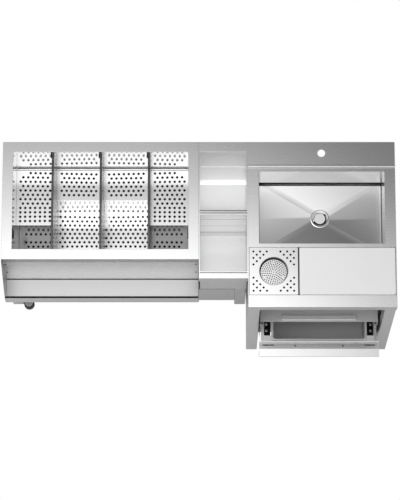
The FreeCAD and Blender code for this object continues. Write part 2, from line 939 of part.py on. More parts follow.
bowl_foot = at_drop(cell("bowl_drop"))
bowl_fall = cell("bowl_fall")
drain_z = bowl_foot - bowl_fall
bowl_rear = bowl_deep0 - cell("baffle_gap")
bowl_mid_deep = (bowl_rear + bowl_deep1) / 2
drain_r = cell("drain_radius")
bowl_outer = block(
    "bowl_outer",
    bowl_x0 - wall,
    bowl_x1 + wall,
    bowl_rear - wall,
    bowl_deep1 + wall,
    bowl_foot - wall,
    under_top,
)
bowl_inner = block("bowl_inner", bowl_x0, bowl_x1, bowl_rear, bowl_deep1, bowl_foot, top_z)
bowl_funnel_outer = falling_floor(
    "bowl_funnel_outer",
    bowl_x0 - wall,
    bowl_x1 + wall,
    bowl_rear - wall,
    bowl_deep1 + wall,
    bowl_foot - wall,
    bowl_fall,
    drain_r + wall,
)
bowl_funnel_inner = falling_floor(
    "bowl_funnel_inner", bowl_x0, bowl_x1, bowl_rear, bowl_deep1, bowl_foot, bowl_fall, drain_r
)
bowl_hole = post(
    "bowl_hole", sink_mid_x, bowl_mid_deep, drain_z - 2 * wall, bowl_foot, drain_r - 3 * wall
)
bowl_shell = fuse("bowl_shell", [bowl_outer, bowl_funnel_outer])
node(cut("bowl_sheet", bowl_shell, [bowl_inner, bowl_funnel_inner, bowl_hole]), "sink_bowl")

# The baffle hangs behind the rear rim; the slot under it is the overflow.
baffle = padded(
    "baffle_section",
    "YZ_Plane",
    [
        (0, 0),
        (0, cell("baffle_drop") - wall),
        (wall, cell("baffle_drop") - wall),
        (wall, wall),
        (3 * wall, wall),
        (3 * wall, 0),
    ],
    bowl_x1 - bowl_x0,
    (bowl_x0, at_deep(bowl_deep0), at_drop(cell("baffle_drop"))),
)
node(baffle, "overflow_baffle")

throat = cell("drain_throat")
dish = doc.addObject("PartDesign::Body", "drain_section")
dish_outline = drawn(
    dish,
    "drain_outline",
    "XZ_Plane",
    [
        (throat, -4 * wall),
        (drain_r - 4 * wall, -4 * wall),
        (drain_r - 4 * wall, 0),
        (drain_r, 0),
        (drain_r - 3 * wall, wall),
        (throat, -3 * wall),
    ],
)
dish_turn = dish.newObject("PartDesign::Revolution", "drain_turn")
dish_turn.Profile = dish_outline
dish_turn.ReferenceAxis = (dish_outline, ["V_Axis"])
dish_turn.Angle = 360
dish.Tip = dish_turn
put(dish, sink_mid_x, at_deep(bowl_mid_deep), drain_z)
node(dish, "drain_strainer")

tail_top = drain_z - 4 * wall
tail_outer = post(
    "tail_outer", sink_mid_x, bowl_mid_deep, tail_top - cell("tail_length"), tail_top, throat + wall
)
tail_bore = post(
    "tail_bore", sink_mid_x, bowl_mid_deep, tail_top - cell("tail_length") - wall, top_z, throat
)
node(cut("tail_tube", tail_outer, [tail_bore]), "drain_tail")


# ---- drip tray, drip plate, strainer dish and cutting board ----------------------------------------

plate_w = cell("plate_width")
plate_x0 = recess_x0 + gap
plate_x1 = plate_x0 + plate_w
plate_deep0 = recess_deep0 + gap
plate_deep1 = recess_deep1 - gap
plate_mid_x = (plate_x0 + plate_x1) / 2
plate_mid_deep = (plate_deep0 + plate_deep1) / 2
tray_z = at_drop(cell("tray_drop"))
tray_x1 = recess_x0 + plate_w + 2 * gap
tray_outer, tray_inner = open_box(
    "tray", recess_x0, tray_x1, recess_deep0, recess_deep1, tray_z, under_top, wall
)
tray_hole = post("tray_hole", plate_mid_x, plate_mid_deep, tray_z - 2 * wall, top_z, throat / 2)
tray = cut("tray_sheet", tray_outer, [tray_inner, tray_hole])
# Ledges along the tray's front and back carry the plate.
plate_z = at_drop(cell("plate_wall"))
ledges = []
for side, deep0 in (("back", recess_deep0), ("front", recess_deep1 - 3 * wall)):
    ledges.append(
        block(
            "tray_ledge_" + side,
            recess_x0,
            tray_x1,
            deep0,
            deep0 + 3 * wall,
            plate_z - cell("seat_gap") - wall,
            plate_z - cell("seat_gap"),
        )
    )
node(fuse("tray_piece", [tray] + ledges), "drip_tray")


def corner_holes():
    """The centres of the drip plate's holes: three diagonal rows in each corner, from its middle."""
    reach = plate_w.value / 2 - cell("plate_hole_edge").value
    step = cell("plate_hole_pitch").value
    centres = []
    for across in range(5):
        for along in range(5):
            if (across + along) % 2 or across + along > 4:
                continue
            for sign_x in (-1, 1):
                for sign_y in (-1, 1):
                    centres.append(
                        (sign_x * (reach - across * step), sign_y * (reach - along * step))
                    )
    return centres


plate_wires = []
half_x = (plate_x1 - plate_x0).value / 2
half_y = (plate_deep1 - plate_deep0).value / 2
plate_corners = [
    FreeCAD.Vector(sx * half_x, sy * half_y, 0) for sx, sy in ((-1, -1), (-1, 1), (1, 1), (1, -1))
]
plate_wires.append(Part.makePolygon(plate_corners + plate_corners[:1]))
upward = FreeCAD.Vector(0, 0, 1)
for x, y in corner_holes():
    plate_wires.append(six_sided(x, y, cell("plate_hole_radius").value))
dish_ring = Part.makeCircle((cell("dish_radius") + gap).value, FreeCAD.Vector(0, 0, 0), upward)
plate_wires.append(Part.Wire(dish_ring))
drip_plate = doc.addObject("Part::Feature", "drip_plate_sheet")
drip_plate.Shape = Part.Face(plate_wires).extrude(FreeCAD.Vector(0, 0, cell("plate_wall").value))
drip_plate.Placement.Base = FreeCAD.Vector(
    plate_mid_x.value, at_deep(plate_mid_deep).value, plate_z.value
)
node(drip_plate, "drip_plate")

# The strainer dish stands in the tray and reaches up through the plate's round hole.
dish_body = doc.addObject("PartDesign::Body", "strainer_section")
dish_rim = cell("dish_radius")
dish_foot = cell("dish_foot_radius")
dish_floor_z = at_drop(cell("dish_drop"))
dish_depth = cell("dish_drop")
strainer_outline = drawn(
    dish_body,
    "strainer_outline",
    "XZ_Plane",
    [
        (wall * 2, 0),
        (dish_foot, 0),
        (dish_rim, dish_depth - wall / 2),
        (dish_rim - wall, dish_depth - wall / 2),
        (dish_foot - wall, wall),
        (wall * 2, wall),
    ],
)
strainer_turn = dish_body.newObject("PartDesign::Revolution", "strainer_turn")
strainer_turn.Profile = strainer_outline
strainer_turn.ReferenceAxis = (strainer_outline, ["V_Axis"])
strainer_turn.Angle = 360
dish_body.Tip = strainer_turn
put(dish_body, plate_mid_x, at_deep(plate_mid_deep), dish_floor_z)
node(dish_body, "strainer_dish")
dish_posts = []
for turn in range(3):
    angle = math.radians(90 + 120 * turn)
    dish_posts.append(
        hexagon(
            "dish_post_%d" % (turn + 1),
            plate_mid_x + (dish_foot - 6 * wall) * math.cos(angle),
            plate_mid_deep - (dish_foot - 6 * wall) * math.sin(angle),
            tray_z,
            dish_floor_z - cell("seat_gap"),
            3 * wall,
        )
    )
node(group("dish_post_group", dish_posts), "dish_posts")

board_x0 = tray_x1 + 2 * wall + gap
board_x1 = recess_x1 - gap
board_z = at_drop(cell("board_thick"))
board = padded(
    "board_block",
    "XY_Plane",
    [
        (0, 0),
        (board_x1 - board_x0, 0),
        (board_x1 - board_x0, plate_deep1 - plate_deep0),
        (0, plate_deep1 - plate_deep0),
    ],
    cell("board_thick"),
    (board_x0, at_deep(plate_deep1), board_z),
)
rounded(
    board,
    lambda edge: abs(edge.Vertexes[0].Z - edge.Vertexes[1].Z) > 1,
    3 * wall,
)
node(board, "cutting_board")
pan_z = board_z - cell("seat_gap")
pan_outer, pan_inner = open_box(
    "pan", board_x0 - gap, recess_x1, recess_deep0, recess_deep1, pan_z, under_top, wall
)
node(cut("pan_sheet", pan_outer, [pan_inner]), "board_pan")


# ---- side and back panels, bottom shelf and drawer housing -----------------------------------------

panel_z0 = leg_foot + cell("leg_wall") * 3
panel_z1 = at_drop(cell("apron_drop"))
sink_leg_rear1 = wall + leg
for side, x0 in (("left", sink_x + wall), ("right", right_x - 2 * wall)):
    node(
        block(
            "sink_side_%s_sheet" % side, x0, x0 + wall, sink_leg_rear1, sink_leg_front0, panel_z0, panel_z1
        ),
        "sink_side_" + side,
    )
node(
    block(
        "sink_back_sheet",
        sink_x + wall + leg,
        right_x - wall - leg,
        wall,
        2 * wall,
        cell("bottom_top"),
        under_top,
    ),
    "sink_back_panel",
)
bottom_z = cell("bottom_top")
shelf_x0 = sink_x + 2 * wall
shelf_x1 = right_x - 2 * wall
shelf = block(
    "shelf_sheet",
    shelf_x0,
    shelf_x1,
    sink_leg_rear1,
    sink_leg_front0,
    bottom_z - wall,
    bottom_z,
)
shelf_slots = []
slot_deep = sink_leg_front0 - 6 * wall
for side, sign in (("left", -1), ("right", 1)):
    for place in range(2):
        slot_mid = sink_mid_x + sign * (cell("housing_width") / 2 - 14 * wall)
        slot_near = slot_deep - place * leg / 2 - 9 * wall / 2
        shelf_slots.append(
            block(
                "shelf_slot_%s_%d" % (side, place + 1),
                slot_mid - 2 * wall,
                slot_mid + 2 * wall,
                slot_near,
                slot_near + 9 * wall,
                bottom_z - 2 * wall,
                bottom_z + wall,
            )
        )
node(cut("shelf_slotted", shelf, shelf_slots), "bottom_shelf")

housing_x0 = sink_mid_x - cell("housing_width") / 2
housing_x1 = sink_mid_x + cell("housing_width") / 2
housing_z1 = cell("housing_top")
housing = padded(
    "housing_section",
    "XZ_Plane",
    [
        (0, 0),
        (0, housing_z1 - bottom_z),
        (cell("housing_width"), housing_z1 - bottom_z),
        (cell("housing_width"), 0),
        (cell("housing_width") - wall, 0),
        (cell("housing_width") - wall, housing_z1 - bottom_z - wall),
        (wall, housing_z1 - bottom_z - wall),
        (wall, 0),
    ],
    cell("housing_deep"),
    (housing_x0, at_deep(housing_front - cell("housing_deep")), bottom_z),
)
node(housing, "drawer_housing")
pull_deep1 = housing_front - 4 * wall
pull_section = padded(
    "pull_section",
    "YZ_Plane",
    [
        (0, 0),
        (0, 4 * wall),
        (wall, 4 * wall),
        (wall, wall),
        (10 * wall, wall),
        (10 * wall, 0),
    ],
    cell("pull_width"),
    (sink_mid_x - cell("pull_width") / 2, at_deep(pull_deep1), housing_z1),
)
node(pull_section, "housing_pull")

slide_z1 = cell("slide_top")
slide_z0 = slide_z1 - cell("slide_height")
slide_deep1 = housing_front - 2 * wall
slide_deep0 = slide_deep1 - cell("slide_length")


def channel(name, x_back, x_open, deep0, deep1):
    """A drawer slide's C section: its back against x_back and its lips towards x_open."""
    opens_right = x_open.value > x_back.value
    x0, x1 = (x_back, x_open) if opens_right else (x_open, x_back)
    outer = block(name + "_outer", x0, x1, deep0, deep1, slide_z0, slide_z1)
    shift = wall if opens_right else -wall
    inner = block(
        name + "_inner",
        x0 + shift,
        x1 + shift,
        deep0 - wall,
        deep1 + wall,
        slide_z0 + wall,
        slide_z1 - wall,
    )
    return cut(name, outer, [inner])


fixed_slides = [
    channel(
        "fixed_slide_left",
        housing_x0 + wall,
        housing_x0 + wall + cell("slide_thick"),
        slide_deep0,
        slide_deep1,
    ),
    channel(
        "fixed_slide_right",
        housing_x1 - wall,
        housing_x1 - wall - cell("slide_thick"),
        slide_deep0,
        slide_deep1,
    ),
]
node(group("fixed_slide_group", fixed_slides), "fixed_slides")


# ---- drawer: front, arms that run in the slides, and the bin ---------------------------------------

drawer_x0 = sink_mid_x - cell("drawer_width") / 2
drawer_z1 = cell("drawer_top")
drawer_h = cell("drawer_face")
chan_drop = cell("channel_drop")
chan_w = cell("channel_width")
nose = cell("nose_reach")
front_section = padded(
    "front_section",
    "YZ_Plane",
    [
        (0, 0),
        (-front_flange, 0),
        (-front_flange, -(chan_drop - wall)),
        (-(front_flange + chan_w - wall), -(chan_drop - wall)),
        (-(front_flange + chan_w - wall), 0),
        (-(front_flange + chan_w + nose - wall), wall * 2),
        (-(front_flange + chan_w + nose), wall),
        (-(front_flange + chan_w + nose), -3 * wall),
        (-(front_flange + chan_w + nose - wall), -3 * wall),
        (-(front_flange + chan_w + nose - wall), 0),
        (-(front_flange + chan_w), -wall),
        (-(front_flange + chan_w), -drawer_h),
        (-(front_flange + chan_w - 5 * wall), -drawer_h),
        (-(front_flange + chan_w - 5 * wall), -(drawer_h - wall)),
        (-(front_flange + chan_w - wall), -(drawer_h - wall)),
        (-(front_flange + chan_w - wall), -chan_drop),
        (-(front_flange - wall), -chan_drop),
        (-(front_flange - wall), -wall),
        (0, -wall),
    ],
    cell("drawer_width"),
    (drawer_x0, at_deep(drawer_back), drawer_z1),
)
doc.recompute()
slot_cuts = []
for side, sign in (("left", -1), ("right", 1)):
    slot_mid = sink_mid_x + sign * (cell("drawer_width") / 2 - leg * 0.8)
    slot_cuts.append(
        block(
            "front_slot_" + side,
            slot_mid - leg / 2,
            slot_mid + leg / 2,
            channel_deep0 + chan_w / 2 - wall,
            channel_deep0 + chan_w / 2 + wall,
            drawer_z1 - chan_drop - wall,
            drawer_z1 - chan_drop + 2 * wall,
        )
    )
node(cut("front_slotted", front_section, slot_cuts), "drawer_front")
front_screws = []
for side, sign in (("left", -1), ("right", 1)):
    front_screws.append(
        hexagon(
            "front_screw_" + side,
            sink_mid_x + sign * cell("drawer_width") / 5,
            channel_deep0 + chan_w / 2,
            drawer_z1 - chan_drop + wall,
            drawer_z1 - chan_drop + 2 * wall,
            2 * wall,
        )
    )
node(group("front_screw_group", front_screws), "front_screws")

run_gap = gap
arm_deep0 = slide_deep0 + cell("drawer_out")
arm_deep1 = channel_deep1 - wall
bin_x0 = sink_mid_x - cell("bin_width") / 2
bin_x1 = sink_mid_x + cell("bin_width") / 2
bin_rim = cell("bin_rim")
bin_top = drawer_z1 - wall
arms = []
for side, sign, x_slide, x_bin in (
    ("left", 1, housing_x0 + wall, bin_x0),
    ("right", -1, housing_x1 - wall, bin_x1),
):
    # The bar runs inside the fixed slide; the web above it carries the bin's rim.
    bar_a = x_slide + sign * (wall + run_gap)
    bar_b = x_slide + sign * (cell("slide_thick") + 2 * wall)
    x0, x1 = (bar_a, bar_b) if sign > 0 else (bar_b, bar_a)
    bar = block(
        "arm_bar_" + side,
        x0,
        x1,
        arm_deep0,
        arm_deep1,
        slide_z0 + wall + run_gap,
        slide_z1 - wall - run_gap,
    )
    web_a = x_slide + sign * (cell("slide_thick") + run_gap)
    web_b = x_slide + sign * (cell("slide_thick") + 2 * wall)
    x0, x1 = (web_a, web_b) if sign > 0 else (web_b, web_a)
    web = block(
        "arm_web_" + side, x0, x1, arm_deep0, drawer_back, slide_z0 + wall + run_gap, bin_top - 2 * wall
    )
    shelf_a = web_a
    shelf_b = x_bin + sign * (bin_rim - wall)
    x0, x1 = (shelf_a, shelf_b) if sign > 0 else (shelf_b, shelf_a)
    rest = block(
        "arm_rest_" + side, x0, x1, arm_deep0, drawer_back, bin_top - 2 * wall, bin_top - wall
    )
    arms.append(fuse("drawer_arm_" + side, [bar, web, rest]))
node(group("drawer_arm_group", arms), "drawer_arms")

bin_deep1 = drawer_back - wall
bin_deep0 = bin_deep1 - cell("bin_deep")
bin_z0 = cell("bin_floor_top")
bin_h = bin_top - bin_z0
bin_len = cell("bin_deep")


def bin_core(name, inset, z_low, z_high):
    """The bin's body, its upright corners rounded."""
    width = bin_x1 - bin_x0 - 2 * bin_rim - 2 * inset
    length = bin_len - 2 * bin_rim - 2 * inset
    body = padded(
        name,
        "XY_Plane",
        [(0, 0), (width, 0), (width, length), (0, length)],
        z_high - z_low,
        (bin_x0 + bin_rim + inset, at_deep(bin_deep1 - bin_rim - inset), bin_z0 + z_low),
    )
    return rounded(
        body,
        lambda edge: abs(edge.Vertexes[0].Z - edge.Vertexes[1].Z) > 1,
        cell("bin_corner") - inset,
    )


bin_outer = bin_core("bin_outer_section", Size.of(0), -wall, bin_h)
bin_inner = bin_core("bin_inner_section", wall, Size.of(0), bin_h + wall)
bin_flange = block("bin_flange", bin_x0, bin_x1, bin_deep0, bin_deep1, bin_top - wall, bin_top)
bin_body = fuse("bin_body", [bin_outer, bin_flange])
node(cut("bin_sheet", bin_body, [bin_inner]), "waste_bin")


# ---- check and write -------------------------------------------------------------------------------

doc.recompute()
faults = [thing.Name for thing in doc.Objects if {"Invalid", "Error"} & set(thing.State)]
if faults:
    raise SystemExit("failed objects: " + ", ".join(faults))
os.makedirs("parts", exist_ok=True)
names = [thing.Label for thing in nodes]
if len(set(names)) != len(names):
    raise SystemExit("two sub-parts share a name")
for thing in nodes:
    if thing.Shape.isNull() or not thing.Shape.isValid() or not thing.Shape.Solids:
        raise SystemExit("bad shape: " + thing.Label)
for thing in nodes:
    thing.Shape.exportStep(os.path.join("parts", thing.Label + ".step"))
print(len(nodes), "sub-parts,", sum(len(thing.Shape.Solids) for thing in nodes), "solids")
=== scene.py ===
# %% [markdown]
# # A bar station in folded steel
# The object is a bartender's station: an ice bin with a bottle rail on the left, a narrow module with two
# bottle wells, and a bar sink on the right. Nearly all of it is 2 mm stainless sheet, so the look depends
# on folds, gaps, perforations and on what the sheet reflects.

# %% Load the frame
import json
import math

import bmesh
import bpy
from mathutils import Matrix, Vector

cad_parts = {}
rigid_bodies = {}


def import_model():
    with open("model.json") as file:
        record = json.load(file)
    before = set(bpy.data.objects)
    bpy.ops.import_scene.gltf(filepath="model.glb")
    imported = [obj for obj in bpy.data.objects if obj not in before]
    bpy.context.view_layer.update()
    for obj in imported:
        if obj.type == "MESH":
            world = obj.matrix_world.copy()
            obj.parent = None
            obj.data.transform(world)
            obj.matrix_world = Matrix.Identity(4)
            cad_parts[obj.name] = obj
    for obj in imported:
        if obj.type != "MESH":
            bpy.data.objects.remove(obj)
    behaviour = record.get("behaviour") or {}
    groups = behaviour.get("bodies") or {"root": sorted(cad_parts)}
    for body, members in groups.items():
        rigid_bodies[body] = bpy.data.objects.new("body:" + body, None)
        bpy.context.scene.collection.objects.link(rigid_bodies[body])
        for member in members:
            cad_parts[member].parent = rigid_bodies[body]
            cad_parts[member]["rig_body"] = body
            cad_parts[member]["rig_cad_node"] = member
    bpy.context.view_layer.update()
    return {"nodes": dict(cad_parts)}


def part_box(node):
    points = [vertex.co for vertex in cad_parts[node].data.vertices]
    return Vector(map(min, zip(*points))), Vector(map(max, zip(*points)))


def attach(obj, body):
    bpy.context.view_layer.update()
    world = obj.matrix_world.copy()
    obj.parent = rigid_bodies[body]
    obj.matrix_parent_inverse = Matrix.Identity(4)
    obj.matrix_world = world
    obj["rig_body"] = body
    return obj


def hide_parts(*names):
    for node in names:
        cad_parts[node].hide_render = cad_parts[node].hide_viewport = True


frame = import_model()

# %% [markdown]
# ## Places
# The maker's drawing gives a place as a distance along the front (x), a depth from the back edge of the
# worktops (deep) and a height (z), all in millimetres. One function turns that into Blender's metres, and
# one turns a vertex back, so every size below is read like the drawing.

# %% Millimetres to metres
MM = 0.001
BACK_EDGE = 453.5


def spot(x, deep, z):
    return Vector((x * MM, (BACK_EDGE - deep) * MM, z * MM))


def drawn_at(point):
    return point.x / MM, BACK_EDGE - point.y / MM, point.z / MM


# %% [markdown]
# ## The camera
# The photograph looks down from high above the front, with a long lens, so upright walls show only as
# narrow bands. The camera stands far away on the same line.

# %% Camera
camera_data = bpy.data.cameras.new("studio_camera")
camera_data.sensor_fit = "HORIZONTAL"
camera_data.sensor_width = 36
camera_data.lens = 253.2
camera_data.clip_end = 100
camera = bpy.data.objects.new("studio_camera", camera_data)
bpy.context.scene.collection.objects.link(camera)
camera.location = (0.0055, -3.359, 13.242)
LOOK = Vector((0, 0.2576, -0.9662))
camera.rotation_euler = LOOK.to_track_quat("-Z", "Y").to_euler()
bpy.context.scene.camera = camera
bpy.context.scene.view_settings.view_transform = "Standard"
print("camera at", tuple(round(v, 2) for v in camera.location))

# %% [markdown]
# ## Material nodes
# Every finish here is a Principled shader fed by a few procedural nodes on Object coordinates, so a pattern
# stays fixed to its piece. A small helper adds a node and sets its inputs by name.


# %% A node helper
def add_node(tree, kind, **values):
    node = tree.nodes.new(kind)
    for key, value in values.items():
        if key in node.inputs:
            node.inputs[key].default_value = value
        else:
            setattr(node, key, value)
    return node


def new_finish(name):
    finish = bpy.data.materials.new(name)
    finish.use_nodes = True
    tree = finish.node_tree
    place = add_node(tree, "ShaderNodeTexCoord")
    return finish, tree, tree.nodes["Principled BSDF"], place.outputs["Object"]


def stretched_noise(tree, place, stretch, scale, detail=3.0):
    mapping = add_node(tree, "ShaderNodeMapping", Scale=stretch)
    noise = add_node(tree, "ShaderNodeTexNoise", Scale=scale, Detail=detail)
    tree.links.new(place, mapping.inputs["Vector"])
    tree.links.new(mapping.outputs["Vector"], noise.inputs["Vector"])
    return noise.outputs["Fac"]


def spread(tree, value, low, high):
    ramp = add_node(tree, "ShaderNodeMapRange")
    ramp.inputs["From Min"].default_value = 0.3
    ramp.inputs["From Max"].default_value = 0.7
    ramp.inputs["To Min"].default_value = low
    ramp.inputs["To Max"].default_value = high
    tree.links.new(value, ramp.inputs["Value"])
    return ramp.outputs["Result"]


def tint(tree, value, dark, light):
    mix = add_node(tree, "ShaderNodeMix", data_type="RGBA")
    colours = [socket for socket in mix.inputs if socket.type == "RGBA"]
    colours[0].default_value = (*dark, 1)
    colours[1].default_value = (*light, 1)
    tree.links.new(value, mix.inputs["Factor"])
    return [socket for socket in mix.outputs if socket.type == "RGBA"][0]


# %% [markdown]
# ## Brushed steel
# Sheet steel is sold with a fine brushed grain that runs one way. The grain is far too fine to see from
# above, but it blurs reflections a little more across the lines than along them. Here a noise stretched
# along the grain changes the roughness and gives a faint bump, and a slow second noise stands for the
# cloudiness that wiping leaves.


# %% Steel finishes
def steel_finish(name, shade, rough, along="x", grain=0.0015, cloud=0.004, metal=1.0):
    finish, tree, shader, place = new_finish(name)
    shader.inputs["Metallic"].default_value = metal
    stretch = {"x": (4, 260, 260), "y": (260, 4, 260), "z": (260, 260, 4)}[along]
    lines = stretched_noise(tree, place, stretch, 3.0)
    clouds = stretched_noise(tree, place, (1, 1, 1), 4.5, 2.0)
    dark = tuple(max(v - cloud, 0) for v in (shade, shade, shade + 0.004))
    light = (shade + cloud, shade + cloud, shade + cloud + 0.004)
    tree.links.new(tint(tree, clouds, dark, light), shader.inputs["Base Color"])
    tree.links.new(spread(tree, lines, rough - 0.005, rough + 0.005), shader.inputs["Roughness"])
    bump = add_node(tree, "ShaderNodeBump", Strength=grain, Distance=0.0002)
    tree.links.new(lines, bump.inputs["Height"])
    tree.links.new(bump.outputs["Normal"], shader.inputs["Normal"])
    return finish


satin = steel_finish("satin_steel", 0.80, 0.27)
# Painted shade: upright faces get a darker copy of the satin, 0.50 against 0.80; the grain runs upright.
satin_upright_shaded = steel_finish("satin_steel_upright_shaded", 0.50, 0.27, "z")
# Painted shade: the rail's end plates are darker still.
rail_end_shade = steel_finish("shaded_rail_end_steel", 0.24, 0.30, "z")
rail_steel = steel_finish("rail_steel", 0.52, 0.30)
# Painted light and shade: the wells' walls and floors get lighter and darker copies of one steel.
well_steel = steel_finish("well_steel", 0.96, 0.24)
front_well_steel = steel_finish("front_well_steel", 0.56, 0.24)
# Painted shade: the drip tray and the board's pan, seen only through holes and gaps, are dark.
shaded_tray_steel = steel_finish("shaded_tray_steel", 0.15, 0.45)
rear_floor_steel = steel_finish("rear_well_floor_steel", 0.57, 0.24)
front_floor_steel = steel_finish("front_well_floor_steel", 0.74, 0.24)
baffle_steel = steel_finish("baffle_steel", 0.50, 0.24)
drawer_steel = steel_finish("drawer_steel", 0.66, 0.27)
# Painted light: a lowered Metallic lets the steel under the sink catch the lamps and read paler.
inner_steel = steel_finish("inner_steel", 0.80, 0.50, metal=0.35)
# Painted shade: a nearly black steel for undersides, hole walls, groove floors and other places in the dark.
painted_shade = steel_finish("painted_shade_steel", 0.03, 0.60)
shaded_deck = steel_finish("shaded_perforated_steel", 0.33, 0.10, grain=0.003)
# Painted highlight: a pale non-metallic white for the drain disc, the pull's lip and the drawer front's rear
# flange.
painted_highlight_white = steel_finish("painted_highlight_white_steel", 0.98, 0.45, grain=0.002, metal=0.0)
plate_steel = steel_finish("plate_steel", 0.76, 0.14)
tank_steel = steel_finish("tank_steel", 0.50, 0.10)
deck_steel = steel_finish("perforated_steel", 0.97, 0.15, grain=0.003, cloud=0.01)
# Painted shade: a near-black steel for the dividers, the rail screws, the dish's wall and the bin's front
# rim.
dark_shade_steel = steel_finish("dark_shade_steel", 0.12, 0.26, "y")
bowl_steel = steel_finish("bowl_steel", 0.84, 0.20, grain=0.01, cloud=0.01)
# Painted light: a lowered Metallic lets the bin read paler in the shade under the sink.
bin_steel = steel_finish("bin_steel", 0.70, 0.52, metal=0.55)
bright = steel_finish("polished_steel", 0.90, 0.06, grain=0.002, cloud=0.01)
print("steel finishes:", sum("steel" in finish.name for finish in bpy.data.materials))


# %% [markdown]
# ## Plastic, rubber and foam
# The board is a moulded polyethylene with a fine orange-peel skin. Rubber parts are nearly black with a
# dusty bloom, and the foam between tank and casing is a pale yellow.


# %% Soft and moulded finishes
def moulded_finish(name, dark, light, rough, scale, bump_strength, specular=0.5):
    finish, tree, shader, place = new_finish(name)
    shader.inputs["Specular IOR Level"].default_value = specular
    fine = stretched_noise(tree, place, (1, 1, 1), scale, 4.0)
    slow = stretched_noise(tree, place, (1, 1, 1), 7.0, 2.0)
    tree.links.new(tint(tree, slow, dark, light), shader.inputs["Base Color"])
    tree.links.new(spread(tree, fine, rough - 0.05, rough + 0.05), shader.inputs["Roughness"])
    bump = add_node(tree, "ShaderNodeBump", Strength=bump_strength, Distance=0.0003)
    tree.links.new(fine, bump.inputs["Height"])
    tree.links.new(bump.outputs["Normal"], shader.inputs["Normal"])
    return finish


board_white = moulded_finish("polyethylene", (0.88,) * 3, (0.90,) * 3, 0.55, 900, 0.1, 0.3)
rubber = moulded_finish("black_rubber", (0.012,) * 3, (0.03,) * 3, 0.6, 700, 0.3)
grey_plastic = moulded_finish("grey_plastic", (0.30,) * 3, (0.36,) * 3, 0.45, 600, 0.2)
foam = moulded_finish("insulation_foam", (0.78, 0.74, 0.58), (0.86, 0.82, 0.68), 0.9, 400, 0.6)
print("materials:", len(bpy.data.materials))

# %% [markdown]
# ## Ways of working
# Pieces are shaped in edit mode, as by hand: pick faces or edges by their place, then run an operator.
# These few helpers do the picking and the bookkeeping.


# %% Selecting by place
def alone(thing):
    if bpy.context.object and bpy.context.mode != "OBJECT":
        bpy.ops.object.mode_set(mode="OBJECT")
    bpy.ops.object.select_all(action="DESELECT")
    thing.select_set(True)
    bpy.context.view_layer.objects.active = thing


def object_mode():
    bpy.ops.object.mode_set(mode="OBJECT")


def pick_faces(thing, test):
    """Edit mode with the faces picked whose middle (drawing units) and normal pass the test."""
    alone(thing)
    bpy.ops.object.mode_set(mode="EDIT")
    bpy.ops.mesh.select_mode(type="FACE")
    bpy.ops.mesh.select_all(action="DESELECT")
    shape = bmesh.from_edit_mesh(thing.data)
    shape.normal_update()
    count = 0
    for face in shape.faces:
        if test(*drawn_at(face.calc_center_median()), face.normal):
            face.select_set(True)
            count += 1
    bmesh.update_edit_mesh(thing.data)
    return count


def pick_edges(thing, test, sharp=25):
    """Edit mode with those edges picked that are open or fold by over sharp degrees, and pass the test."""
    alone(thing)
    bpy.ops.object.mode_set(mode="EDIT")
    bpy.ops.mesh.select_mode(type="EDGE")
    bpy.ops.mesh.select_all(action="DESELECT")
    shape = bmesh.from_edit_mesh(thing.data)
    shape.normal_update()
    count = 0
    for edge in shape.edges:
        if len(edge.link_faces) == 2 and math.degrees(edge.calc_face_angle(0)) < sharp:
            continue
        a, b = (drawn_at(vertex.co) for vertex in edge.verts)
        if test(a, b):
            edge.select_set(True)
            count += 1
    bmesh.update_edit_mesh(thing.data)
    return count


def bevel_picked(width, segments=2):
    bpy.ops.mesh.bevel(offset=width * MM, segments=segments, affect="EDGES", clamp_overlap=True)


def every_edge(a, b):
    return True


def long_edge(a, b):
    return abs(a[0] - b[0]) > 100


def upright_edge(a, b):
    return abs(a[2] - b[2]) > 20


def rounded(thing, width, segments=2, test=every_edge):
    """Bevels the picked edges, goes back to object mode and gives their number."""
    count = pick_edges(thing, test)
    if count:
        bevel_picked(width, segments)
    object_mode()
    return count


def applied(thing, kind, **settings):
    """Adds a modifier, sets it and applies it."""
    alone(thing)
    modifier = thing.modifiers.new(kind.lower(), kind)
    for key, value in settings.items():
        setattr(modifier, key, value)
    bpy.ops.object.modifier_apply(modifier=modifier.name)


# %% [markdown]
# ## Starting shapes
# A slab is a cube put in place by its drawing sizes. A sheet is the same for a single flat face. A copy of
# a CAD node starts from its mesh, whose loose triangles are merged first.


# %% Starts
def settled(name):
    thing = bpy.context.object
    thing.name = name
    thing.data.name = name
    bpy.ops.object.transform_apply(location=True, rotation=True, scale=True)
    return thing


def slab(name, x0, x1, deep0, deep1, z0, z1):
    bpy.ops.object.select_all(action="DESELECT")
    middle = spot((x0 + x1) / 2, (deep0 + deep1) / 2, (z0 + z1) / 2)
    size = ((x1 - x0) * MM, (deep1 - deep0) * MM, (z1 - z0) * MM)
    bpy.ops.mesh.primitive_cube_add(size=1, location=middle, scale=size)
    return settled(name)


def sheet(name, x0, x1, deep0, deep1, z):
    bpy.ops.object.select_all(action="DESELECT")
    bpy.ops.mesh.primitive_plane_add(size=1, location=spot((x0 + x1) / 2, (deep0 + deep1) / 2, z))
    bpy.context.object.scale = ((x1 - x0) * MM, (deep1 - deep0) * MM, 1)
    return settled(name)


def cad_copy(node):
    source = frame["nodes"][node]
    thing = source.copy()
    thing.data = source.data.copy()
    thing.parent = None
    thing.name = node + "_formed"
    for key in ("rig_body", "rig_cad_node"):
        if key in thing:
            del thing[key]
    bpy.context.scene.collection.objects.link(thing)
    alone(thing)
    bpy.ops.mesh.customdata_custom_splitnormals_clear()
    bpy.ops.object.mode_set(mode="EDIT")
    bpy.ops.mesh.select_all(action="SELECT")
    bpy.ops.mesh.remove_doubles(threshold=0.00002)
    bpy.ops.mesh.dissolve_limited(angle_limit=math.radians(0.5))
    object_mode()
    return thing


# %% [markdown]
# ## Finishing a piece
# Each piece gets its shading, its material, the CAD node that it stands for, the body that it moves with
# and the record's slot for its finish.


def upright(x, deep, z, n):
    return abs(n.z) < 0.3


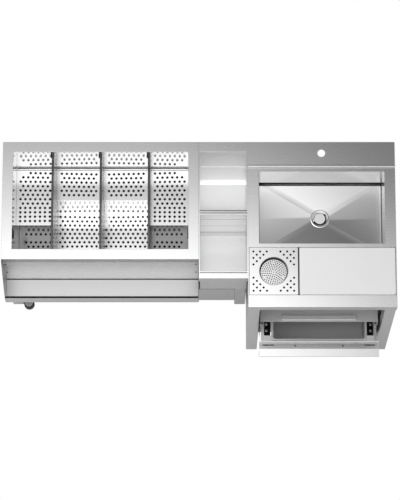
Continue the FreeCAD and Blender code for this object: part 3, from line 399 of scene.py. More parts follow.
def finished(thing, finish, node, smooth=35, second=None, where=upright, extra=()):
    """The second finish goes where its test says; extra has more pairs, and the last that fits wins."""
    alone(thing)
    bpy.ops.object.shade_smooth_by_angle(angle=math.radians(smooth))
    thing.data.materials.clear()
    thing.data.materials.append(finish)
    looks = ([(second, where)] if second else []) + list(extra)
    for look, _ in looks:
        thing.data.materials.append(look)
    for face in thing.data.polygons:
        face.material_index = 0
        for index, (_, test) in enumerate(looks, 1):
            if test(*drawn_at(face.center), face.normal):
                face.material_index = index
    applied(thing, "WEIGHTED_NORMAL", keep_sharp=True, weight=100)
    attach(thing, frame["nodes"][node]["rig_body"])
    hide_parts(node)
    return thing


def softened(node, finish, width=1.0, segments=2, test=every_edge, **looks):
    """A copy of a CAD piece with its edges rounded a little, as a folded and deburred sheet has them."""
    thing = cad_copy(node)
    count = rounded(thing, width, segments, test)
    print(f"{node}: {count} edges rounded, {len(thing.data.polygons)} faces")
    return finished(thing, finish, node, **looks)


# %% [markdown]
# ## Holes
# A perforated sheet is punched from a flat one. One punch is modelled, copied to every place, each copy
# turned a little further so that no two flats line up, and joined into a single cutter. One Boolean takes
# them all out of the sheet. The new faces are counted, and if they are too few or too many, the cut is
# made again with another solver or a hair's breadth aside. A groove is a cut with one slim slab.


# %% Punching
PUNCH_TURN = 0.37
TRIES = (("EXACT", 0), ("FAST", 0), ("EXACT", 0.07), ("FAST", 0.13), ("EXACT", 0.21))


def punch(thing, places, radius, sides=12, height=6):
    bpy.ops.object.select_all(action="DESELECT")
    bpy.ops.mesh.primitive_cylinder_add(vertices=sides, radius=radius * MM, depth=height * MM)
    first = settled("punch")
    copies = []
    for index, place in enumerate(places):
        one = first.copy()
        one.data = first.data.copy()
        spin = Matrix.Rotation(PUNCH_TURN * index, 4, "Z")
        one.data.transform(Matrix.Translation(spot(*place)) @ spin)
        bpy.context.scene.collection.objects.link(one)
        copies.append(one)
    bpy.data.objects.remove(first)
    alone(copies[0])
    for one in copies:
        one.select_set(True)
    bpy.ops.object.join()
    cutter = bpy.context.object
    before = len(thing.data.polygons)
    wanted = len(places) * sides
    flat = thing.data.copy()
    for solver, shift in TRIES:
        thing.data = flat.copy()
        cutter.location = (shift * MM, 0.6 * shift * MM, 0)
        applied(thing, "BOOLEAN", object=cutter, operation="DIFFERENCE", solver=solver)
        gained = len(thing.data.polygons) - before
        if 0.9 * wanted < gained < 1.6 * wanted:
            break
    bpy.data.objects.remove(cutter)
    print(f"{thing.name}: {len(places)} holes, {solver} {shift}, {wanted} faces wanted, {gained} gained")


def groove(thing, x0, x1, deep0, deep1, z0, z1):
    cutter = slab("groove", x0, x1, deep0, deep1, z0, z1)
    applied(thing, "BOOLEAN", object=cutter, operation="DIFFERENCE", solver="EXACT")
    bpy.data.objects.remove(cutter)


# %% [markdown]
# ## Stage and light
# The background is white paper. The floor shows pure white to the camera, through Is Camera Ray, and in
# reflections a little of that white is mixed into lit paper. Steel seen from above mirrors what is overhead
# and slightly behind, so a broad glowing card hangs there. It fades to the back and to the right, which gives
# the bright front and the darker rear and right. A second card stands in front for the folds that face it,
# and one more lamp, which no reflection shows, lifts the matt board.

# %% Floor
FLOOR_IN_STEEL = 0.30
bpy.ops.object.select_all(action="DESELECT")
bpy.ops.mesh.primitive_plane_add(size=40, location=(0, 0, -0.0005))
floor = settled("studio_floor")
paper, paper_tree, paper_shader, _ = new_finish("studio_paper")
paper_shader.inputs["Base Color"].default_value = (0.75, 0.75, 0.75, 1)
paper_shader.inputs["Roughness"].default_value = 0.9
glow = add_node(paper_tree, "ShaderNodeEmission", Strength=1.0)
blend = add_node(paper_tree, "ShaderNodeMixShader")
rays = add_node(paper_tree, "ShaderNodeLightPath")
glossy_share = add_node(paper_tree, "ShaderNodeMath", operation="MULTIPLY")
glossy_share.inputs[1].default_value = FLOOR_IN_STEEL
share = add_node(paper_tree, "ShaderNodeMath", operation="ADD")
share.use_clamp = True
output = paper_tree.nodes["Material Output"]
paper_tree.links.new(rays.outputs["Is Glossy Ray"], glossy_share.inputs[0])
paper_tree.links.new(rays.outputs["Is Camera Ray"], share.inputs[0])
paper_tree.links.new(glossy_share.outputs[0], share.inputs[1])
paper_tree.links.new(share.outputs[0], blend.inputs["Fac"])
paper_tree.links.new(paper_shader.outputs[0], blend.inputs[1])
paper_tree.links.new(glow.outputs[0], blend.inputs[2])
paper_tree.links.new(blend.outputs[0], output.inputs["Surface"])
floor.data.materials.append(paper)

# %% World
SKY_LEVEL = 0.24
world = bpy.data.worlds.new("studio_world")
bpy.context.scene.world = world
world.use_nodes = True
sky_tree = world.node_tree
sky = sky_tree.nodes["Background"]
sky.inputs["Color"].default_value = (1, 1, 1, 1)
sky_rays = add_node(sky_tree, "ShaderNodeLightPath")
sky_level = add_node(sky_tree, "ShaderNodeMapRange")
sky_level.inputs["To Min"].default_value = SKY_LEVEL
sky_level.inputs["To Max"].default_value = 1.0
sky_tree.links.new(sky_rays.outputs["Is Camera Ray"], sky_level.inputs["Value"])
sky_tree.links.new(sky_level.outputs["Result"], sky.inputs["Strength"])


# %% Lamps
def soft_lamp(name, wide, high, location, tilt, level):
    """A rectangular lamp whose surface is as bright as level. Tilt 0 faces down, 90 faces the back."""
    data = bpy.data.lights.new(name, "AREA")
    data.shape = "RECTANGLE"
    data.size = wide
    data.size_y = high
    data.energy = level * math.pi * wide * high
    lamp = bpy.data.objects.new(name, data)
    lamp.location = location
    lamp.rotation_euler = (math.radians(tilt), 0, 0)
    lamp.visible_camera = False
    bpy.context.scene.collection.objects.link(lamp)
    return lamp


# %% Overhead card
CARD_HEIGHT = 2.90
CARD_LEVEL = 1.90
CARD_SLANT = 0.35
bpy.ops.object.select_all(action="DESELECT")
bpy.ops.mesh.primitive_plane_add(size=1, location=(-0.4, -0.2, CARD_HEIGHT), rotation=(math.pi, 0, 0))
bpy.context.object.scale = (5.0, 3.6, 1)
card = settled("overhead_card")
card_finish, card_tree, card_shader, card_place = new_finish("studio_card")
split = add_node(card_tree, "ShaderNodeSeparateXYZ")
card_tree.links.new(card_place, split.inputs[0])


def fade(place, start, end, low):
    """One at start and low at end, along a place value of the card, smoothly."""
    level = add_node(card_tree, "ShaderNodeMapRange", interpolation_type="SMOOTHSTEP")
    for key, value in (("From Min", start), ("From Max", end), ("To Min", 1.0), ("To Max", low)):
        level.inputs[key].default_value = value
    card_tree.links.new(place, level.inputs["Value"])
    return level.outputs["Result"]


def times(a, b):
    product = add_node(card_tree, "ShaderNodeMath", operation="MULTIPLY")
    card_tree.links.new(a, product.inputs[0])
    card_tree.links.new(b, product.inputs[1])
    return product.outputs[0]


slant = add_node(card_tree, "ShaderNodeMath", operation="MULTIPLY_ADD")
slant.inputs[1].default_value = CARD_SLANT
card_tree.links.new(split.outputs["Y"], slant.inputs[0])
card_tree.links.new(split.outputs["X"], slant.inputs[2])
back = split.outputs["Y"]
deep_fade = times(fade(back, -0.05, 1.25, 0.22), fade(back, -0.7, -1.8, 0.4))
both = times(deep_fade, fade(slant.outputs[0], -0.12, 1.48, 0.30))
card_glow = add_node(card_tree, "ShaderNodeEmission")
card_level = add_node(card_tree, "ShaderNodeMath", operation="MULTIPLY")
card_level.inputs[1].default_value = CARD_LEVEL
card_tree.links.new(both, card_level.inputs[0])
card_tree.links.new(card_level.outputs[0], card_glow.inputs["Strength"])
card_tree.links.new(card_glow.outputs[0], card_tree.nodes["Material Output"].inputs["Surface"])
card_tree.nodes.remove(card_shader)
card.data.materials.append(card_finish)
card.visible_camera = False
card.visible_shadow = False
soft_lamp("front_card", 8.0, 3.2, (0, -4.2, 1.9), 90, 1.0)
matt_fill = soft_lamp("matt_fill", 3.0, 2.4, (0.2, 0, 2.8), 0, 0.40)
matt_fill.visible_glossy = False
print("lamps:", len(bpy.data.lights))

# %% [markdown]
# ## Worktops
# The three worktops are pressed and folded sheet with a down-turned apron all round. Their shape is right
# in the CAD model. Each fold is rounded by about a millimetre and a half, which gives the thin bright and
# dark lines of a real fold.

# %% Worktops
# The aprons and other upright faces take a darker copy of the satin: painted shade.
softened("ice_worktop", satin, 1.6, 3, second=satin_upright_shaded)
softened("sink_worktop", satin, 0.9, 2, second=satin_upright_shaded)
softened("sink_apron", satin, 0.9, 2, second=satin_upright_shaded)

# %% [markdown]
# The well module's top has two fine seams in its bridge and one at its front rim, where the wells' own
# rims meet it. They are grooves cut with slim slabs.


# %% Well top
well_top = cad_copy("well_worktop")
rounded(well_top, 1.6, 3)
for seam_deep in (327.0, 337.0, 619.0):
    groove(well_top, 4, 221, seam_deep, seam_deep + 3.4, 868.2, 871)
# The seams' floors are painted in shade, nearly black; the upright faces take the darker satin, painted shade
# too.
finished(
    well_top, satin, "well_worktop", second=satin_upright_shaded,
    extra=[(painted_shade, lambda x, deep, z, n: 868 < z < 868.8 and n.z > 0.5)],
)

# %% [markdown]
# ## Tank, casing and wells
# The tank is a folded box inside a casing, with foam between them. Its floor lies in the dark under the
# perforated sheets, so it is painted in shade, nearly black. Each bottle well is a slab whose top is taken
# off; its rear edge at the floor is bevelled and almost flattened, because that slight slope is what shines
# in a real well, and fine folds are cut across the rear wall.

# %% Tank and wells
softened("ice_tank", tank_steel, 1.0, 2, second=painted_shade, where=lambda x, deep, z, n: z < 366 and n.z > 0.5)


def well(node, x0, x1, back, front, foot, folds, wall_finish, floor_finish):
    """A drawn well: open above, with a broad bend round its floor and fine folds across its rear wall."""
    thing = slab(node + "_formed", x0, x1, back, front, foot, 868)
    pick_faces(thing, lambda x, deep, z, n: n.z > 0.9)
    bpy.ops.mesh.delete(type="FACE")
    pick_edges(thing, lambda a, b: max(a[2], b[2]) < foot + 1 and max(a[1], b[1]) < back + 1)
    bevel_picked(11, 1)
    pick_edges(thing, lambda a, b: foot + 10 < min(a[2], b[2]) and max(a[2], b[2]) < foot + 12, 10)
    bpy.ops.transform.translate(value=(0, 0, -10 * MM))
    bpy.ops.mesh.select_all(action="SELECT")
    bpy.ops.mesh.flip_normals()
    object_mode()
    applied(thing, "SOLIDIFY", thickness=2 * MM, offset=-1)

    def outer(x, deep, z, n):
        return not (x0 - 1 < x < x1 + 1 and back - 1.5 < deep < front + 1)

    for z in folds:
        groove(thing, x0 + 2, x1 - 2, back - 1.2, back + 0.5, z - 3, z + 3)
    # Painted light and shade: walls and floor get lighter and darker copies of one steel, and the outer faces
    # the darker upright satin.
    finished(
        thing, wall_finish, node, smooth=40, second=floor_finish,
        where=lambda x, deep, z, n: n.z > 0.9 and foot - 0.5 < z < foot + 0.05 and deep > back + 12,
        extra=[(satin_upright_shaded, outer)],
    )


well("rear_well", 6, 219, 48, 325, 370, [631], well_steel, rear_floor_steel)
well("front_well", 6, 219, 347, 613, 544, [789, 677], front_well_steel, front_floor_steel)
softened("ice_casing", satin_upright_shaded, 0.9, 2)
softened("ice_insulation", foam, 1.0, 1)

# %% [markdown]
# ## Perforated decks
# Each compartment has a shelf that is folded down at its front. It is made from a flat sheet: the front
# edge is extruded down, the fold is bevelled into a bend and the sheet gets its thickness before it is
# punched, so that the holes have walls. The rows of holes bow a little towards the middle.

# %% Hole places
HOLE_RADIUS = 6.1
PITCH_X = 23.0
PITCH_Y = 21.4
BIN_MIDDLE = -450.0
BIN_HALF = 402.0


def bowed(x, deep, middle, reach):
    """Moves a place towards the middle line, most at the bin's centre."""
    near = 1 - abs(x - BIN_MIDDLE) / BIN_HALF
    return deep + 10 * near * (middle - deep) / reach


def hole_rows(x0, x1, deep0, deep1, middle, reach, skip=lambda x, deep: False, aligned=0):
    places = []
    rows = int((deep1 - deep0) / PITCH_Y) + 1
    columns = int((x1 - x0) / PITCH_X)
    start = (x0 + x1) / 2 - columns * PITCH_X / 2
    for row in range(rows):
        deep = deep0 + row * PITCH_Y
        staggered = row % 2 == 1 and row < rows - aligned
        for column in range(columns + 1 - int(staggered)):
            x = start + column * PITCH_X + (PITCH_X / 2 if staggered else 0)
            if not skip(x, deep):
                places.append((x, bowed(x, deep, middle, reach)))
    return places


# %% Rolled hem
def hem(x0, x1, deep, z, radius=4.0):
    """The rolled rear edge of a deck: a rod that ends in small rounded faces."""
    bpy.ops.object.select_all(action="DESELECT")
    bpy.ops.mesh.primitive_cylinder_add(
        vertices=16, radius=radius * MM, depth=(x1 - x0) * MM,
        location=spot((x0 + x1) / 2, deep, z), rotation=(0, math.pi / 2, 0),
    )
    rod = settled("hem")
    rounded(rod, 1.0, 2, lambda a, b: abs(a[0] - b[0]) < 0.01)
    return rod


def join(thing, *others):
    alone(thing)
    for other in others:
        other.select_set(True)
    bpy.ops.object.join()
    return thing


def deck_underside(x, deep, z, n):
    """The hidden side of a deck and the walls of its holes, painted in shade, nearly black."""
    return z < 602.5 and not (n.y < -0.5 and deep > 150)


def deck_riser(x, deep, z, n):
    return n.y < -0.5 and deep > 150


# %% Decks
DECK_BACK = 48.5
DECK_TOP = 603.0
FLOOR_TOP = 370.0
for number in range(1, 5):
    node = f"deck_{number}"
    low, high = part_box(node)
    x0, front, _ = drawn_at(low)
    x1 = high.x / MM
    deck = sheet(node + "_formed", x0, x1, DECK_BACK, front, DECK_TOP)
    pick_edges(deck, lambda a, b: a[1] > front - 1 and b[1] > front - 1)
    bpy.ops.mesh.extrude_edges_move(
        TRANSFORM_OT_translate={"value": (0, 0, -(DECK_TOP - FLOOR_TOP) * MM)}
    )
    pick_edges(deck, lambda a, b: min(a[1], b[1]) > front - 1 and min(a[2], b[2]) > DECK_TOP - 1)
    bevel_picked(1.2, 2)
    object_mode()
    applied(deck, "SOLIDIFY", thickness=2 * MM, offset=-1)
    outer = number in (1, 4)
    corner_x = x0 if number == 1 else x1

    def cut_corner(x, deep, outer=outer, corner_x=corner_x):
        return outer and abs(x - corner_x) + 0.9 * (deep - DECK_BACK) < 66

    rows = hole_rows(
        x0 + 14, x1 - 14, DECK_BACK + 20, front - 18, 230, 180, cut_corner, aligned=3 if outer else 0
    )
    punch(deck, [(x, deep, DECK_TOP) for x, deep in rows], HOLE_RADIUS, height=8)
    join(deck, hem(x0 + 1, x1 - 1, DECK_BACK + 5.5, DECK_TOP + 4))
    # Painted shade: the risers get darker copies of the deck steel, darkest in the outer compartments.
    risers = [(shaded_deck if outer else plate_steel, deck_riser)]
    finished(deck, deck_steel, node, second=painted_shade, where=deck_underside, extra=risers)

# %% [markdown]
# ## False bottom
# The lower floor is one perforated sheet under all four compartments. Only what the decks leave open is
# seen, so the holes start at the risers. It is built in sections, because the outer compartments lie in
# shade and the parts under a deck in the dark, and each gets its own finish.

# %% False bottom
DIVIDER_LINES = (-671, -450, -229)
OUTER_SHELF, MIDDLE_SHELF = 322, 203
low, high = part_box("false_bottom")
x0, front, _ = drawn_at(low)
x1, back, _ = drawn_at(high)
rows = hole_rows(x0 + 30, x1 - 30, 215, front - 14, 330, 180)
rows = [place for place in rows if min(abs(place[0] - line) for line in DIVIDER_LINES) > 11]
sections = []
for left, right, shelf_front in (
    (x0, DIVIDER_LINES[0], OUTER_SHELF),
    (DIVIDER_LINES[0], DIVIDER_LINES[2], MIDDLE_SHELF),
    (DIVIDER_LINES[2], x1, OUTER_SHELF),
):
    sections.append(slab("covered_section", left, right, back, shelf_front, 368, 370))
    section = slab("floor_section", left, right, shelf_front, front, 368, 370)
    seen = [(x, deep, 369) for x, deep in rows if left < x < right and deep > shelf_front + 8]
    punch(section, seen, HOLE_RADIUS)
    sections.append(section)


def outer_bin(x, deep, z, n):
    return not DIVIDER_LINES[0] <= x <= DIVIDER_LINES[2]


def under_a_deck(x, deep, z, n):
    return z < 369.8 or deep < (OUTER_SHELF if outer_bin(x, deep, z, n) else MIDDLE_SHELF)


lower_floor = join(*sections)
lower_floor.name = "false_bottom_formed"
# Painted shade: darker steel in the outer compartments, nearly black under the decks and on the undersides.
finished(
    lower_floor, deck_steel, "false_bottom", second=shaded_deck, where=outer_bin,
    extra=[(painted_shade, under_a_deck)],
)

# %% [markdown]
# ## Dividers
# A divider is a folded double sheet with a rounded top, and a black rubber clip holds it at the rear.

# %% Dividers and clips
for number in (1, 2, 3):
    # The dividers' near-black steel is painted shade.
    softened(f"divider_{number}", dark_shade_steel, 1.5, 3)
    softened(f"divider_clip_{number}", rubber, 1.2, 3)
softened("side_grommets", rubber, 1.0, 3)
softened("floor_runners", satin, 1.0, 1)
softened("ice_drain", bright, 0.6, 1)

# %% [markdown]
# ## Bottle rail
# The rail is one sheet folded into a trough, with a hem on its lip, between two end plates. Two seams are
# cut as grooves whose floor is painted in shade, nearly black.

# %% Rail
rail = cad_copy("bottle_rail")
rounded(rail, 0.9, 2)
groove(rail, -897, -3, 557.2, 560.0, 501.2, 503)
groove(rail, -897, -3, 658.6, 660.8, 574.8, 577)


def seam_floor(x, deep, z, n):
    rear_seam = 556 < deep < 561 and z < 501.9
    lip_seam = 657 < deep < 662 and 574 < z < 575.3
    return n.z > 0.5 and (rear_seam or lip_seam)


# Painted light: the rail's rear wall, where it faces the front, gets the brighter worktop satin.
finished(
    rail, rail_steel, "bottle_rail", second=painted_shade, where=seam_floor,
    extra=[(satin, lambda x, deep, z, n: n.y < -0.5 and deep < 562)],
)
# Painted shade: the end plates and the screws take dark finishes.
softened("rail_end_left", rail_end_shade, 0.8, 2)
softened("rail_end_right", rail_end_shade, 0.8, 2)
softened("rail_screws", dark_shade_steel, 0.5, 2)

# %% [markdown]
# ## Legs, feet and panels
# The legs are square tubes with rounded corners, so only their upright edges are bevelled. One rear leg
# stands partly behind the rear well, and it is cut back there.

# %% Legs and panels
# The legs, casing and panels take the darker upright satin: painted shade.
for node in (
    "ice_leg_front", "ice_leg_rear", "well_leg_front", "sink_leg_front_left",
    "sink_leg_front_right", "sink_leg_rear_left", "sink_leg_rear_right",
):
    softened(node, satin_upright_shaded, 3.0, 3, upright_edge)
notched_leg = cad_copy("well_leg_rear")
rounded(notched_leg, 3.0, 3, upright_edge)
groove(notched_leg, 3.5, 224, 45.6, 60, 367.5, 869)
finished(notched_leg, satin_upright_shaded, "well_leg_rear")
for node in ("sink_side_left", "sink_side_right", "base_shelf"):
    softened(node, satin_upright_shaded, 0.7, 2)
softened("leg_glides", grey_plastic, 1.0, 2)
softened("foot_base", rubber, 3.0, 3)
softened("foot_shell", grey_plastic, 2.0, 2)
softened("bottom_shelf", inner_steel, 0.6, 1)

# %% [markdown]
# The photograph shows white floor through the tap hole, so the back panel ends below that line of sight.
# Its upper edge is folded forward for stiffness.

# %% Back panel
back_panel = slab("sink_back_panel_formed", 279, 846, 2, 4, 145, 640)
pick_faces(back_panel, lambda x, deep, z, n: n.z > 0.9)
bpy.ops.mesh.extrude_region_move(TRANSFORM_OT_translate={"value": (0, 0, 2 * MM)})
pick_faces(back_panel, lambda x, deep, z, n: n.y < -0.9 and z > 640)
bpy.ops.mesh.extrude_region_move(TRANSFORM_OT_translate={"value": (0, -14 * MM, 0)})
rounded(back_panel, 0.6, 2, long_edge)
finished(back_panel, satin_upright_shaded, "sink_back_panel")

# %% [markdown]
# ## Bowl
# The bowl is drawn from one sheet, with small radii in its corners and a floor creased towards the drain.
# It starts as a slab without its top. The bottom is extruded down and scaled to a small opening, the sides
# of the floor dip in their middle so that the slopes run mostly front to back, and the creases and corners
# are bevelled before the sheet gets its thickness. The baffle hangs in front of the rear wall, and two black
# strips at its foot are painted shade for the overflow's gap.

# %% Bowl
BOWL = (275.0, 850.0, 119.0, 483.0)
BOWL_FOOT = 652.0
SIDE_DIP = 17.0
OPENING = 60
CREASE, CORNER = 75, 9
DRAIN_X, DRAIN_DEEP, DRAIN_Z = 562.5, 301.0, 633.0
bowl = slab("sink_bowl_formed", *BOWL, BOWL_FOOT, 868)
pick_faces(bowl, lambda x, deep, z, n: n.z > 0.9)
bpy.ops.mesh.delete(type="FACE")
pick_edges(bowl, lambda a, b: max(a[2], b[2]) < BOWL_FOOT + 1 and abs(a[1] - b[1]) > 100)
bpy.ops.mesh.subdivide(number_cuts=1)
pick_faces(bowl, lambda x, deep, z, n: n.z < -0.9)
bpy.ops.mesh.extrude_region_move(TRANSFORM_OT_translate={"value": (0, 0, (DRAIN_Z - BOWL_FOOT) * MM)})
shrink_x = OPENING / (BOWL[1] - BOWL[0])
shrink_y = OPENING / (BOWL[3] - BOWL[2])
bpy.ops.transform.resize(
    value=(shrink_x, shrink_y, 1), center_override=spot(DRAIN_X, DRAIN_DEEP, DRAIN_Z)
)
bpy.ops.mesh.delete(type="FACE")


def on_hip(a, b):
    low, high = sorted((a[2], b[2]))
    return abs(low - DRAIN_Z) < 1 and abs(high - BOWL_FOOT) < 1


def by_wall(point):
    x, deep, z = point
    near = min(abs(x - BOWL[0]), abs(x - BOWL[1]), abs(deep - BOWL[2]), abs(deep - BOWL[3]))
    return near < 1 and z < BOWL_FOOT + 1


def on_foot(a, b):
    return by_wall(a) and by_wall(b)


alone(bowl)
bpy.ops.object.mode_set(mode="EDIT")
bpy.ops.mesh.select_mode(type="VERT")
bpy.ops.mesh.select_all(action="DESELECT")
shape = bmesh.from_edit_mesh(bowl.data)
for vertex in shape.verts:
    x, deep, z = drawn_at(vertex.co)
    vertex.select_set(by_wall((x, deep, z)) and abs(deep - DRAIN_DEEP) < 2)
bmesh.update_edit_mesh(bowl.data)
bpy.ops.transform.translate(value=(0, 0, -SIDE_DIP * MM))
pick_edges(bowl, on_hip, 1)
bevel_picked(CREASE, 5)
pick_edges(bowl, lambda a, b: on_foot(a, b) or abs(a[2] - b[2]) > 150, 15)
bevel_picked(CORNER, 4)
bpy.ops.mesh.select_all(action="SELECT")
bpy.ops.mesh.flip_normals()
object_mode()
applied(bowl, "SOLIDIFY", thickness=2 * MM, offset=-1)
finished(bowl, bowl_steel, "sink_bowl", smooth=50)

# %% Overflow baffle
BAFFLE_FOOT = 691.0
baffle = slab("overflow_baffle_formed", 275, 850, 139, 141, BAFFLE_FOOT, 868)
pick_faces(baffle, lambda x, deep, z, n: n.z < -0.9)
bpy.ops.mesh.extrude_region_move(TRANSFORM_OT_translate={"value": (0, 0, -3 * MM)})
pick_faces(baffle, lambda x, deep, z, n: n.y > 0.9 and z < BAFFLE_FOOT)
bpy.ops.mesh.extrude_region_move(TRANSFORM_OT_translate={"value": (0, 4 * MM, 0)})
rounded(baffle, 0.7, 2, long_edge)
overflow_shade_strips = [slab("overflow_shade_strip", 276, 849, near, near + 5.4, 645, 652.5) for near in (133.2, 140.6)]
for overflow_shade_strip in overflow_shade_strips:
    rounded(overflow_shade_strip, 0.8, 2)
join(baffle, *overflow_shade_strips)
# The two strips at the foot take the black rubber finish as painted shade.
finished(baffle, baffle_steel, "overflow_baffle", second=rubber, where=lambda x, deep, z, n: z < 660)

# %% [markdown]
# ## Drain
# The strainer in the drain is a polished ring round a domed disc. It is turned: a half outline is spun
# round its axis, and slots are cut through the moat between the ring and the domed disc.


# %% Turning
def turned(name, outline, x, deep, z, steps=72):
    """Spins a closed outline of (radius, height) points round an upright axis."""
    bpy.ops.object.select_all(action="DESELECT")
    middle = spot(x, deep, z)
    mesh = bpy.data.meshes.new(name)
    corners = [middle + Vector((radius * MM, 0, height * MM)) for radius, height in outline]
    edges = [(i, (i + 1) % len(corners)) for i in range(len(corners))]
    mesh.from_pydata(corners, edges, [])
    thing = bpy.data.objects.new(name, mesh)
    bpy.context.scene.collection.objects.link(thing)
    alone(thing)
    bpy.ops.object.mode_set(mode="EDIT")
    bpy.ops.mesh.select_all(action="SELECT")
    bpy.ops.mesh.spin(steps=steps, angle=2 * math.pi, center=middle, axis=(0, 0, 1))
    bpy.ops.mesh.select_all(action="SELECT")
    bpy.ops.mesh.remove_doubles(threshold=0.00002)
    bpy.ops.mesh.normals_make_consistent(inside=False)
    object_mode()
    return thing


strainer = turned(
    "drain_strainer_formed",
    [
        (0, -7), (24, -7), (36, -7), (36, 0), (43.4, 0), (44, 0.6), (42.5, 1.6), (39, 2.0), (36.5, 1.4),
        (34, -1.5), (29, -4.0), (27, -3.6), (26.4, -1.0), (25, 0.6), (18, 1.5), (9, 1.9), (0, 2.0),
    ],
    DRAIN_X, DRAIN_DEEP, DRAIN_Z,
)
SLOT_COUNT = 14
for turn in range(SLOT_COUNT):
    angle = 2 * math.pi * turn / SLOT_COUNT
    slot = slab("slot", DRAIN_X + 28, DRAIN_X + 36.5, DRAIN_DEEP - 2, DRAIN_DEEP + 2, 622, 636)
    alone(slot)
    bpy.ops.transform.rotate(
        value=angle, orient_axis="Z", center_override=spot(DRAIN_X, DRAIN_DEEP, DRAIN_Z)
    )
    bpy.ops.object.transform_apply(location=True, rotation=True, scale=True)
    applied(strainer, "BOOLEAN", object=slot, operation="DIFFERENCE", solver="EXACT")
    bpy.data.objects.remove(slot)


def moat(x, deep, z, n):
    return z < 633 and 0.6 * (x - DRAIN_X) + 0.8 * (deep - DRAIN_DEEP) > -6


# Painted highlight: the disc is a pale non-metallic white. Painted shade: the moat's right and front half is
# nearly black.
finished(
    strainer, bright, "drain_strainer", second=painted_highlight_white,
    where=lambda x, deep, z, n: math.dist((x, deep), (DRAIN_X, DRAIN_DEEP)) < 26 and n.z > 0.5,
    extra=[(painted_shade, moat)],
)
softened("drain_tail", satin_upright_shaded, 0.6, 1)

# %% [markdown]
# ## Drip tray, plate and strainer dish
# The drip plate is a flat sheet with holes in its corners and a round opening for the dish, which is a
# turned wall with a punched disc as its floor. The tray below is painted in shade, dark, as it is seen
# only through holes.

# %% Drip plate
PLATE_X, PLATE_DEEP = 340.5, 613.0
plate = slab("drip_plate_formed", 230.4, 450.6, 502.6, 723.4, 867, 870)
rounded(plate, 4, 3, lambda a, b: abs(a[2] - b[2]) > 2)
STEP = 15.2
REACH = 92.0
corner_places = [
    (PLATE_X + sx * (REACH - i * STEP), PLATE_DEEP + sy * (REACH - j * STEP), 868.5)
    for sx in (-1, 1) for sy in (-1, 1) for i in range(5) for j in range(5)
    if (i + j) % 2 == 0 and i + j <= 4
]
punch(plate, corner_places, 5.0, 14)
punch(plate, [(PLATE_X, PLATE_DEEP, 868.5)], 67.4, 95, 20)
# Painted shade: the plate's underside and the lower walls of its holes are nearly black.
finished(plate, plate_steel, "drip_plate", second=painted_shade, where=lambda x, deep, z, n: z < 869.8)
print("drip plate holes:", len(corner_places))

# %% Strainer dish
dish_wall = turned(
    "dish_wall", [(59.5, 0), (60, 0), (67, 20), (67, 21), (65.6, 21), (58.6, 2), (58.6, 0)],
    PLATE_X, PLATE_DEEP, 848, 96,
)
bpy.ops.object.select_all(action="DESELECT")
bpy.ops.mesh.primitive_cylinder_add(
    vertices=96, radius=58.6 * MM, depth=2 * MM, location=spot(PLATE_X, PLATE_DEEP, 849)
)
dish = settled("strainer_dish_formed")
ring_places = []
for ring in range(6):
    radius = 12 + ring * 8.2
    count = int(2 * math.pi * radius / 10.4)
    for turn in range(count):
        angle = 2 * math.pi * (turn + 0.5 * (ring % 2)) / count
        ring_places.append(
            (PLATE_X + radius * math.cos(angle), PLATE_DEEP + radius * math.sin(angle), 849)
        )
ring_places.append((PLATE_X, PLATE_DEEP, 849))
punch(dish, ring_places, 3.1, 8, 6)
join(dish, dish_wall)
# Painted shade: the dish's upright wall is near-black steel, and its floor's underside and hole walls nearly
# black.
finished(
    dish, plate_steel, "strainer_dish", second=dark_shade_steel,
    where=lambda x, deep, z, n: z > 850.5 and abs(n.z) < 0.8,
    extra=[(painted_shade, lambda x, deep, z, n: z < 849.9)],
)
print("dish holes:", len(ring_places))
# Painted shade: the tray is dark steel, and its floor's top is nearly black.
softened(
    "drip_tray", shaded_tray_steel, 0.8, 1, second=painted_shade, where=lambda x, deep, z, n: n.z > 0.5 and z < 850
)
softened("dish_posts", bright, 0.5, 1)

# %% [markdown]
# ## Board and its pan
# The board is a thick moulded slab. It is a little smaller than its place, which leaves the thin dark line
# round it, and its front corners are rounded.

# %% Board
BOARD_MIDDLE = spot(676, 613, 861)
board = cad_copy("cutting_board")
pick_edges(board, lambda a, b: abs(a[2] - b[2]) > 10 and a[1] > 700)
bevel_picked(6, 4)
bpy.ops.mesh.select_all(action="SELECT")
bpy.ops.transform.resize(value=(0.9945, 0.989, 1), center_override=BOARD_MIDDLE)
rounded(board, 1.2, 3)
finished(board, board_white, "cutting_board")
# Painted shade: the pan is dark steel, which draws the thin dark line round the board.
softened("board_pan", shaded_tray_steel, 0.6, 1)

# %% [markdown]
# ## Drawer and its housing
# A folded sheet over the bin, with a pull at its front, houses the drawer. The bin's front rim and the
# strips beside the bin lie in shade, so they get darker finishes.

# %% Drawer
housing = cad_copy("drawer_housing")
rounded(housing, 0.8, 2)
for tick in (389.5, 735.5):
    groove(housing, tick - 1.6, tick + 1.6, 712, 736, 447, 452)
# Painted light: the housing's steel has a lowered Metallic, so it reads paler in the shade under the sink.
finished(housing, inner_steel, "drawer_housing")
softened("fixed_slides", bright, 0.4, 1)
softened("front_screws", rubber, 0.3, 1)
# The bin's steel has a lowered Metallic, a painted light; its front rim is painted shade in near-black steel.
softened(
    "waste_bin", bin_steel, 0.8, 2, second=dark_shade_steel,
    where=lambda x, deep, z, n: z > 410 and deep > 803 and n.z > 0.5,
)

# %% [markdown]
# ### Drawer front
# The front is one sheet folded four times. A strip of faces is extruded edge by edge along the drawer's
# section, its folds are bevelled, and the strip is then given its thickness. The nose slopes down to the
# front, so from above it mirrors the light. The housing's pull is folded in the same way.


